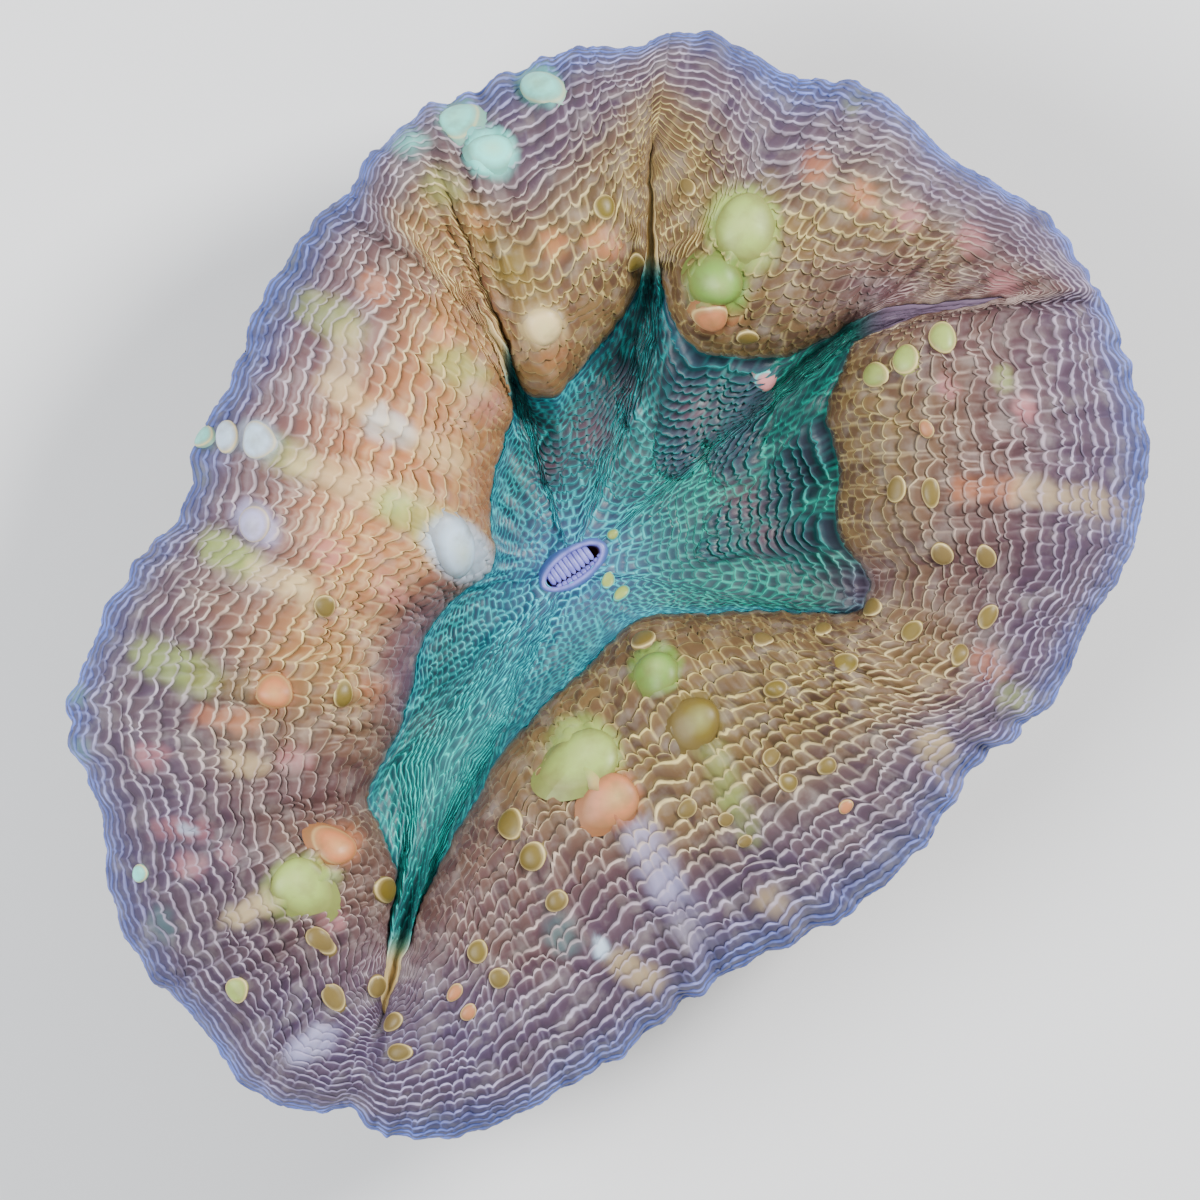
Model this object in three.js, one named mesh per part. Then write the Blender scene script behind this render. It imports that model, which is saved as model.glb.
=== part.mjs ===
// A fleshy brain coral polyp: one mouth in a sunken disc, a thick folded mantle round it,
// and a short stony foot that is cut off flat where it sat on the rock.
// Plan points are tenths of a millimetre from the back left corner of a 120 mm square,
// x to the right and y to the front. Heights are millimetres above the cut.

import * as THREE from "three";

// Overall
const CENTRE = [607.5, 584.5];
const TENTHS = 0.1;
const MANTLE_COLUMNS = 3;
const DISC_COLUMNS = 2;
const RIM_HEIGHT = 24;
const RIDGE_SHARE = 0.5;
const RIM_PUSH = 0.7;

// Disc and mouth
const MOUTH = [573, 566];
const MOUTH_HALF_LENGTH = 3.3;
const MOUTH_HALF_WIDTH = 1.35;
const MOUTH_TURN = 35;
const MOUTH_HEIGHT = 20;
const LIP_RISE = 0.9;
const PIT_DEPTH = 4;

// Stony foot
const FOOT_HALF_LENGTH = 28;
const FOOT_HALF_WIDTH = 21;
const FOOT_TURN = 38;

// One ray per ridge of flesh, clockwise from the fold at the back:
// [gate x, y, inner edge x, y, middle x, y, outer edge x, y, floor height, crest height, ridge].
// The gate is where the ray crosses the disc on its way from the mouth to the inner edge.
const RAYS = [
  // end of the back fold
  [653, 325, 651, 142, 660, 88, 668, 31, 31.6, 33.0, 0.2],
  // back right lobe
  [656, 325, 653, 185, 700, 128, 713, 29, 31.5, 34.0, 0.5],
  [658, 326, 655, 228, 716, 165, 750, 49, 30.0, 35.5, 0.6],
  [661, 328, 658, 264, 722, 195, 789, 75, 27.0, 36.5, 0.7],
  [655, 362, 672, 318, 722, 225, 822, 79, 25.5, 37.0, 0.6],
  [650, 433, 697, 351, 742, 232, 852, 79, 25.0, 37.5, 1.0],
  [655, 458, 728, 357, 790, 215, 890, 95, 25.0, 37.4, 0.7],
  [676, 452, 760, 358, 832, 205, 920, 125, 25.0, 37.2, 0.8],
  [705, 439, 793, 354, 870, 218, 952, 159, 25.0, 36.6, 0.8],
  [775, 384, 826, 338, 905, 235, 985, 174, 25.5, 36.0, 0.8],
  [835, 334, 852, 321, 938, 245, 1020, 197, 27.0, 35.4, 0.8],
  [850, 328, 893, 307, 970, 250, 1048, 212, 31.5, 34.8, 0.8],
  [852, 329, 935, 305, 1003, 264, 1068, 240, 32.6, 34.8, 0.7],
  [853, 330, 975, 299, 1036, 278, 1088, 272, 32.8, 34.4, 0.6],
  [855, 331, 1010, 298, 1062, 293, 1101, 292, 33.0, 34.2, 0.3],
  [855, 337, 925, 313, 1022, 301, 1107, 301, 32.0, 33.4, 0.0],
  // fold under the shoulder of the right lobe
  [849, 343, 855, 343, 990, 308, 1112, 311, 29.5, 33.0, 0.0],
  [840, 353, 850, 350, 990, 315, 1119, 329, 26.0, 36.0, 0.1],
  // right lobe
  [785, 417, 838, 380, 985, 358, 1131, 365, 25.5, 37.0, 0.6],
  [730, 470, 826, 412, 985, 402, 1145, 408, 25.0, 37.6, 0.7],
  [704, 505, 836, 445, 988, 440, 1151, 447, 25.0, 37.8, 0.7],
  [707, 520, 842, 475, 990, 472, 1148, 480, 25.0, 37.8, 0.8],
  [703, 535, 834, 505, 992, 505, 1143, 512, 25.5, 37.4, 0.7],
  [706, 553, 840, 540, 991, 540, 1136, 545, 26.0, 36.8, 0.6],
  [719, 567, 866, 568, 990, 570, 1120, 580, 27.5, 35.6, 0.5],
  [721, 578, 870, 590, 980, 600, 1103, 602, 28.0, 35.0, 0.5],
  [717, 588, 862, 611, 968, 628, 1085, 630, 27.5, 35.2, 0.6],
  // front lobe
  [704, 591, 835, 615, 950, 658, 1074, 665, 26.5, 35.4, 0.7],
  [686, 590, 800, 613, 920, 690, 1052, 705, 25.5, 35.6, 0.8],
  [669, 589, 765, 612, 884, 700, 1012, 740, 24.5, 35.8, 0.9],
  [653, 590, 733, 613, 848, 708, 982, 758, 24.0, 36.0, 0.9],
  [638, 591, 703, 615, 818, 722, 958, 795, 23.5, 36.2, 0.9],
  [624, 590, 675, 614, 785, 740, 930, 840, 23.0, 36.4, 0.8],
  [609, 592, 645, 617, 748, 755, 890, 882, 23.0, 36.5, 0.8],
  [600, 597, 626, 628, 722, 770, 845, 920, 23.0, 36.8, 1.2],
  [587, 611, 600, 655, 688, 800, 790, 945, 23.0, 36.4, 0.8],
  [573, 624, 573, 682, 655, 828, 740, 968, 23.0, 36.2, 0.8],
  [560, 635, 547, 704, 636, 848, 705, 990, 23.0, 36.6, 1.3],
  [538, 676, 520, 733, 597, 880, 665, 1020, 23.0, 36.2, 0.8],
  [513, 717, 495, 762, 562, 905, 625, 1055, 23.5, 36.0, 0.9],
  [489, 760, 479, 798, 528, 930, 580, 1080, 24.0, 35.6, 0.7],
  [483, 760, 462, 825, 500, 955, 540, 1105, 24.5, 35.2, 0.7],
  [477, 760, 443, 860, 472, 978, 492, 1128, 25.0, 34.8, 0.7],
  [471, 760, 428, 890, 448, 1000, 452, 1140, 25.5, 34.2, 0.6],
  [464, 760, 412, 930, 425, 1020, 415, 1141, 28.0, 33.6, 0.5],
  // front fold
  [457, 760, 403, 962, 404, 1045, 385, 1138, 30.5, 33.0, 0.4],
  [450, 760, 393, 992, 384, 1062, 366, 1128, 30.8, 32.4, 0.3],
  [443, 760, 384, 1018, 364, 1070, 352, 1106, 29.8, 31.0, 0.0],
  [438, 761, 382, 992, 342, 1058, 325, 1114, 31.0, 32.6, 0.4],
  [431, 762, 388, 962, 315, 1033, 280, 1108, 31.0, 33.6, 0.6],
  // front left lobe
  [425, 763, 389, 930, 302, 1000, 238, 1085, 28.5, 34.4, 0.7],
  [418, 764, 394, 900, 296, 962, 210, 1040, 26.0, 35.0, 0.8],
  [410, 765, 396, 873, 290, 930, 180, 1004, 25.5, 35.6, 0.9],
  [403, 766, 386, 848, 284, 900, 150, 980, 25.0, 36.2, 1.0],
  [396, 767, 376, 822, 278, 868, 124, 940, 25.0, 36.2, 0.9],
  // crease between the front left lobe and the left lobe
  [389, 768, 364, 804, 262, 842, 103, 880, 25.5, 34.2, 0.0],
  // left lobe
  [432, 718, 371, 783, 240, 806, 104, 832, 25.0, 36.0, 0.9],
  [442, 695, 386, 750, 235, 766, 92, 790, 24.5, 36.8, 1.0],
  [470, 658, 401, 720, 232, 728, 70, 748, 24.0, 37.0, 1.0],
  [492, 628, 411, 690, 250, 690, 64, 702, 24.0, 37.4, 1.2],
  [495, 613, 415, 660, 250, 660, 85, 662, 24.0, 37.2, 1.0],
  [499, 599, 425, 632, 262, 628, 105, 606, 24.0, 37.2, 0.9],
  [507, 586, 441, 607, 290, 590, 135, 562, 23.5, 37.6, 1.0],
  [522, 576, 470, 586, 330, 556, 152, 541, 23.5, 37.8, 0.8],
  [531, 568, 489, 571, 345, 520, 183, 518, 23.0, 38.0, 0.7],
  [534, 560, 495, 553, 368, 490, 193, 448, 23.0, 38.4, 1.5],
  [531, 543, 488, 520, 378, 455, 208, 417, 23.0, 38.0, 0.9],
  [531, 527, 489, 488, 390, 425, 236, 368, 23.5, 38.0, 1.2],
  [536, 508, 499, 450, 402, 385, 250, 318, 23.5, 37.8, 0.8],
  [535, 474, 511, 418, 415, 350, 268, 283, 24.0, 37.8, 1.3],
  [523, 435, 511, 402, 432, 318, 298, 243, 24.5, 37.4, 0.8],
  // fold under the shoulder of the left lobe
  [514, 401, 509, 393, 448, 304, 318, 213, 25.5, 36.4, 0.1],
  [515, 397, 511, 392, 455, 299, 330, 203, 27.5, 35.0, 0.0],
  [517, 397, 496, 350, 442, 274, 340, 197, 33.2, 35.4, 0.0],
  // back left lobe
  [520, 397, 475, 300, 412, 240, 352, 190, 33.4, 35.6, 0.3],
  [522, 398, 490, 320, 430, 217, 364, 158, 33.0, 36.0, 0.6],
  [524, 400, 509, 354, 445, 205, 395, 132, 27.5, 35.8, 0.7],
  [531, 412, 528, 397, 466, 215, 428, 103, 25.5, 36.4, 0.9],
  [560, 439, 556, 397, 502, 250, 462, 97, 25.0, 36.8, 1.1],
  [576, 444, 578, 370, 535, 240, 500, 75, 25.0, 36.6, 0.8],
  [590, 428, 600, 343, 566, 215, 540, 60, 25.0, 36.4, 0.8],
  [612, 378, 625, 315, 596, 190, 577, 43, 25.5, 36.0, 0.7],
  [641, 326, 644, 272, 618, 160, 604, 45, 27.0, 35.4, 0.6],
  [645, 325, 647, 225, 632, 130, 628, 46, 30.0, 34.4, 0.5],
  [649, 325, 649, 182, 645, 105, 650, 41, 31.5, 33.4, 0.3],
];

// Share of the way out and which part of the slope it is on, from the inner wall to the outer edge
const MANTLE_STEPS = [0, 0.015, 0.055, 0.12, 0.21, 0.32, 0.44, 0.56, 0.68, 0.8, 0.91, 0.975, 1];
const CREST_SHARE = 0.4;
const DISC_STEPS = [0, 0.35, 0.7, 1];
const ARM_STEPS = [0.35, 0.7];

// Swollen bubbles that stand out of the flesh: [x, y, radius, height in mm]
const BUBBLES = [
  [740, 232, 30, 1.5],
  [718, 285, 24, 1.3],
  [712, 322, 20, 0.9],
  [605, 209, 14, 1.2],
  [545, 328, 20, 1.0],
  [490, 155, 20, 1.4],
  [455, 118, 18, 1.2],
  [540, 88, 18, 1.0],
  [405, 140, 18, 1.0],
  [285, 255, 18, 1.0],
  [260, 440, 20, 1.2],
  [205, 440, 20, 1.2],
  [475, 560, 26, 1.2],
  [500, 410, 20, 0.8],
  [388, 428, 22, 0.8],
  [225, 555, 24, 0.9],
  [160, 665, 26, 0.9],
  [275, 692, 20, 0.8],
  [76, 693, 16, 1.0],
  [345, 695, 16, 0.9],
  [305, 880, 28, 1.5],
  [340, 845, 20, 1.0],
  [390, 887, 18, 1.2],
  [240, 987, 18, 1.1],
  [300, 1045, 24, 1.0],
  [580, 752, 30, 1.9],
  [613, 795, 26, 1.2],
  [655, 668, 22, 1.5],
  [695, 720, 24, 1.3],
  [510, 823, 16, 1.1],
  [533, 853, 16, 1.1],
  [478, 950, 15, 0.9],
  [845, 662, 15, 1.0],
  [910, 630, 14, 0.9],
  [903, 362, 17, 1.2],
  [940, 340, 17, 1.2],
  [873, 377, 16, 1.0],
  [895, 492, 14, 0.8],
  [928, 495, 14, 0.8],
  [945, 770, 24, 1.0],
];

const lerp = (a, b, f) => a + (b - a) * f;
const toMillimetres = ([x, y]) => [(x - CENTRE[0]) * TENTHS, (CENTRE[1] - y) * TENTHS];

// The ray at any place between two listed ones, with its points in millimetres
function rayAt(place) {
  const count = RAYS.length;
  const before = Math.floor(place) % count;
  const after = (before + 1) % count;
  const part = place - Math.floor(place);
  const values = RAYS[before].map((value, i) => lerp(value, RAYS[after][i], part));
  return {
    gate: toMillimetres(values.slice(0, 2)),
    inner: toMillimetres(values.slice(2, 4)),
    middle: toMillimetres(values.slice(4, 6)),
    outer: toMillimetres(values.slice(6, 8)),
    floor: values[8],
    crest: values[9],
    ridge: values[10] * Math.cos(2 * Math.PI * part),
  };
}

// A point on an oval, in the direction of a target or part of the way to an even spread
function onOval(centre, halfLength, halfWidth, turn, angle) {
  const along = THREE.MathUtils.degToRad(turn);
  const local = angle - along;
  const reach = 1 / Math.hypot(Math.cos(local) / halfLength, Math.sin(local) / halfWidth);
  return [centre[0] + reach * Math.cos(angle), centre[1] + reach * Math.sin(angle)];
}

// Height of the flesh along one ray: a steep inner wall, a rounded crest and a drooping outer edge
function mantleHeight(ray, share) {
  if (share < CREST_SHARE) {
    const left = 1 - share / CREST_SHARE;
    return lerp(ray.floor, ray.crest, Math.pow(1 - Math.pow(left, 2.6), 1 / 1.9));
  }
  const past = (share - CREST_SHARE) / (1 - CREST_SHARE);
  return lerp(RIM_HEIGHT, ray.crest, Math.sqrt(1 - Math.pow(past, 2.3)));
}

function bubbleHeight(x, y) {
  let rise = 0;
  for (const [bubbleX, bubbleY, radius, height] of BUBBLES) {
    const [centreX, centreY] = toMillimetres([bubbleX, bubbleY]);
    const away = Math.hypot(x - centreX, y - centreY) / (radius * TENTHS);
    if (away < 1.6) rise = Math.max(rise, height * Math.exp(-away * away * 1.2));
  }
  return rise;
}

function mantlePoint(place, share) {
  const ray = rayAt(place);
  const pull = [0, 1].map((i) => 2 * ray.middle[i] - (ray.inner[i] + ray.outer[i]) / 2);
  const rest = 1 - share;
  const [x, y] = [0, 1].map(
    (i) => rest * rest * ray.inner[i] + 2 * rest * share * pull[i] + share * share * ray.outer[i],
  );
  const swell = THREE.MathUtils.smoothstep(share, 0, 0.12) * (0.8 + 0.3 * share);
  const lift = RIDGE_SHARE * ray.ridge * swell;
  const out = Math.hypot(ray.outer[0], ray.outer[1]);
  const push = RIM_PUSH * lift * THREE.MathUtils.smoothstep(share, 0.75, 1);
  const settled = THREE.MathUtils.smoothstep(share, 0.02, 0.1);
  return [
    x + (push * ray.outer[0]) / out,
    y + (push * ray.outer[1]) / out,
    mantleHeight(ray, share) + lift * (1 - 0.6 * share ** 6) + bubbleHeight(x, y) * settled,
  ];
}

const mouthCentre = toMillimetres(MOUTH);

// Lips and disc, from the mouth out to the gate and on to the foot of the inner wall
function discPoint(place, share) {
  const ray = rayAt(place);
  const aim = Math.atan2(ray.gate[1] - mouthCentre[1], ray.gate[0] - mouthCentre[0]);
  const lip = onOval(mouthCentre, MOUTH_HALF_LENGTH, MOUTH_HALF_WIDTH, MOUTH_TURN, aim);
  const x = lerp(lip[0], ray.gate[0], share);
  const y = lerp(lip[1], ray.gate[1], share);
  const gateHeight = lerp(MOUTH_HEIGHT, ray.floor, 0.35);
  const mound = LIP_RISE * (1 - THREE.MathUtils.smoothstep(share, 0, 0.5));
  return [x, y, lerp(MOUTH_HEIGHT, gateHeight, share * share) + mound];
}

function armPoint(place, share) {
  const ray = rayAt(place);
  const gateHeight = lerp(MOUTH_HEIGHT, ray.floor, 0.35);
  const bulge = RIDGE_SHARE * ray.ridge * Math.sin(Math.PI * share);
  return [
    lerp(ray.gate[0], ray.inner[0], share),
    lerp(ray.gate[1], ray.inner[1], share),
    lerp(gateHeight, ray.floor, share ** 1.3) + bulge,
  ];
}

function pitPoint(place, shrink, height) {
  const ray = rayAt(place);
  const aim = Math.atan2(ray.gate[1] - mouthCentre[1], ray.gate[0] - mouthCentre[0]);
  const long = MOUTH_HALF_LENGTH * shrink;
  const wide = MOUTH_HALF_WIDTH * shrink * shrink;
  return [...onOval(mouthCentre, long, wide, MOUTH_TURN, aim), height];
}

// Underside of the flesh and the stony foot, from the outer edge down to the flat cut
function undersidePoint(place, share, height) {
  const ray = rayAt(place);
  const aim = Math.atan2(ray.outer[1], ray.outer[0]);
  const base = onOval([0, 0], FOOT_HALF_LENGTH, FOOT_HALF_WIDTH, FOOT_TURN, aim);
  return [lerp(ray.outer[0], base[0], share), lerp(ray.outer[1], base[1], share), height];
}

const places = (perRay, start) =>
  Array.from({ length: RAYS.length * perRay }, (_, i) => i / perRay + start);
const coarse = places(1, 0);
const discPlaces = places(DISC_COLUMNS, 0);
const fine = places(MANTLE_COLUMNS, 1 / 6);

const ring = (at, makePoint) => ({ at, points: at.map(makePoint) });
const rings = [
  ring(coarse, (s) => pitPoint(s, 0.6, MOUTH_HEIGHT + LIP_RISE - PIT_DEPTH)),
  ring(coarse, (s) => pitPoint(s, 0.85, MOUTH_HEIGHT - 0.3)),
  ...DISC_STEPS.map((share) => ring(coarse, (s) => discPoint(s, share))),
  ...ARM_STEPS.map((share) => ring(discPlaces, (s) => armPoint(s, share))),
  ...MANTLE_STEPS.map((share) => ring(fine, (s) => mantlePoint(s, share))),
  ring(coarse, (s) => undersidePoint(s, 0.03, RIM_HEIGHT - 2.4)),
  ring(coarse, (s) => undersidePoint(s, 0.12, RIM_HEIGHT - 4.6)),
  ring(coarse, (s) => undersidePoint(s, 0.36, RIM_HEIGHT - 7)),
  ring(coarse, (s) => undersidePoint(s, 0.62, 12)),
  ring(coarse, (s) => undersidePoint(s, 0.84, 5.5)),
  ring(coarse, (s) => undersidePoint(s, 1, 0)),
];

const positions = [];
const faces = [];

function addPoint(point) {
  positions.push(...point);
  return positions.length / 3 - 1;
}

// Triangles between two rings that may have different numbers of points
function stitch(inside, outside) {
  const count = RAYS.length;
  let i = 0;
  let j = 0;
  const placeOf = (chain, k) => (k < chain.at.length ? chain.at[k] : count);
  while (i < inside.at.length || j < outside.at.length) {
    const a = inside.ids[i % inside.ids.length];
    const b = outside.ids[j % outside.ids.length];
    const inner = placeOf(inside, i + 1);
    const outer = placeOf(outside, j + 1);
    if (j < outside.at.length && (i >= inside.at.length || outer <= inner)) {
      j += 1;
      faces.push(a, outside.ids[j % outside.ids.length], b);
    } else {
      i += 1;
      faces.push(a, inside.ids[i % inside.ids.length], b);
    }
  }
}

// Closes a ring with a fan round its middle
function cap(chain, facingUp) {
  const middle = [0, 1, 2].map(
    (axis) => chain.points.reduce((sum, p) => sum + p[axis], 0) / chain.points.length,
  );
  const centre = addPoint(middle);
  chain.ids.forEach((id, i) => {
    const next = chain.ids[(i + 1) % chain.ids.length];
    if (facingUp) faces.push(centre, next, id);
    else faces.push(centre, id, next);
  });
}

for (const chain of rings) chain.ids = chain.points.map(addPoint);
for (let i = 1; i < rings.length; i += 1) stitch(rings[i - 1], rings[i]);
cap(rings[0], true);
cap(rings[rings.length - 1], false);

const geometry = new THREE.BufferGeometry();
geometry.setAttribute("position", new THREE.Float32BufferAttribute(positions, 3));
geometry.setIndex(faces);
geometry.computeVertexNormals();

const flesh = new THREE.MeshStandardMaterial({ color: 0x9a7b66, roughness: 0.45, metalness: 0 });
const coral = new THREE.Mesh(geometry, flesh);
coral.name = "brain_coral";

const group = new THREE.Group();
group.name = "brain_coral_polyp";
group.add(coral);

export default group;
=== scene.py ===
import math
from types import SimpleNamespace

import bpy
import numpy as np
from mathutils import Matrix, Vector
from mathutils.kdtree import KDTree


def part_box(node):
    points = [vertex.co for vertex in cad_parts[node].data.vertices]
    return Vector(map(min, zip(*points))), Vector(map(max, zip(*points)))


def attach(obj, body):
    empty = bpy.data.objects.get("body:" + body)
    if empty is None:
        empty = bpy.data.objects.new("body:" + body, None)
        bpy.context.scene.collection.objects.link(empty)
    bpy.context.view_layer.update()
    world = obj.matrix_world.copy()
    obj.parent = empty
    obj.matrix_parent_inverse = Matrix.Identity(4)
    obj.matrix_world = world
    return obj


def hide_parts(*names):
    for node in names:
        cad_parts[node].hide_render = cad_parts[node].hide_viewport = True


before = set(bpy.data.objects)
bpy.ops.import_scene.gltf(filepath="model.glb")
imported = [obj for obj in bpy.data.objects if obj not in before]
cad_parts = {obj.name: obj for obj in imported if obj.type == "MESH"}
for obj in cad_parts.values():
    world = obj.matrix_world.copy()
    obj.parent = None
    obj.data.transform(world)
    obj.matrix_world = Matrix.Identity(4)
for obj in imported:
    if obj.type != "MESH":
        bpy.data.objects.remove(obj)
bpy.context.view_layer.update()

# Plan points are tenths of a millimetre from the back left corner of a 120 mm square, as in the CAD source.
# Lengths and heights are in mm, and shares run from 0 to 1.
CENTRE = np.array([607.5, 584.5])
RIM_HEIGHT = 24.0
RIDGE_SHARE = 0.5
RIM_PUSH = 0.7
MOUTH = (573, 566)
MOUTH_HALF_LENGTH = 3.3
MOUTH_HALF_WIDTH = 1.35
MOUTH_TURN = math.radians(35)
MOUTH_HEIGHT = 20.0
CREST_SHARE = 0.4
FOOT_HALF_LENGTH = 28.0
FOOT_HALF_WIDTH = 21.0
FOOT_TURN = math.radians(38)
# Turns a whole length in tenths into half of it in mm
HALF_TENTH = 0.05

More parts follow.
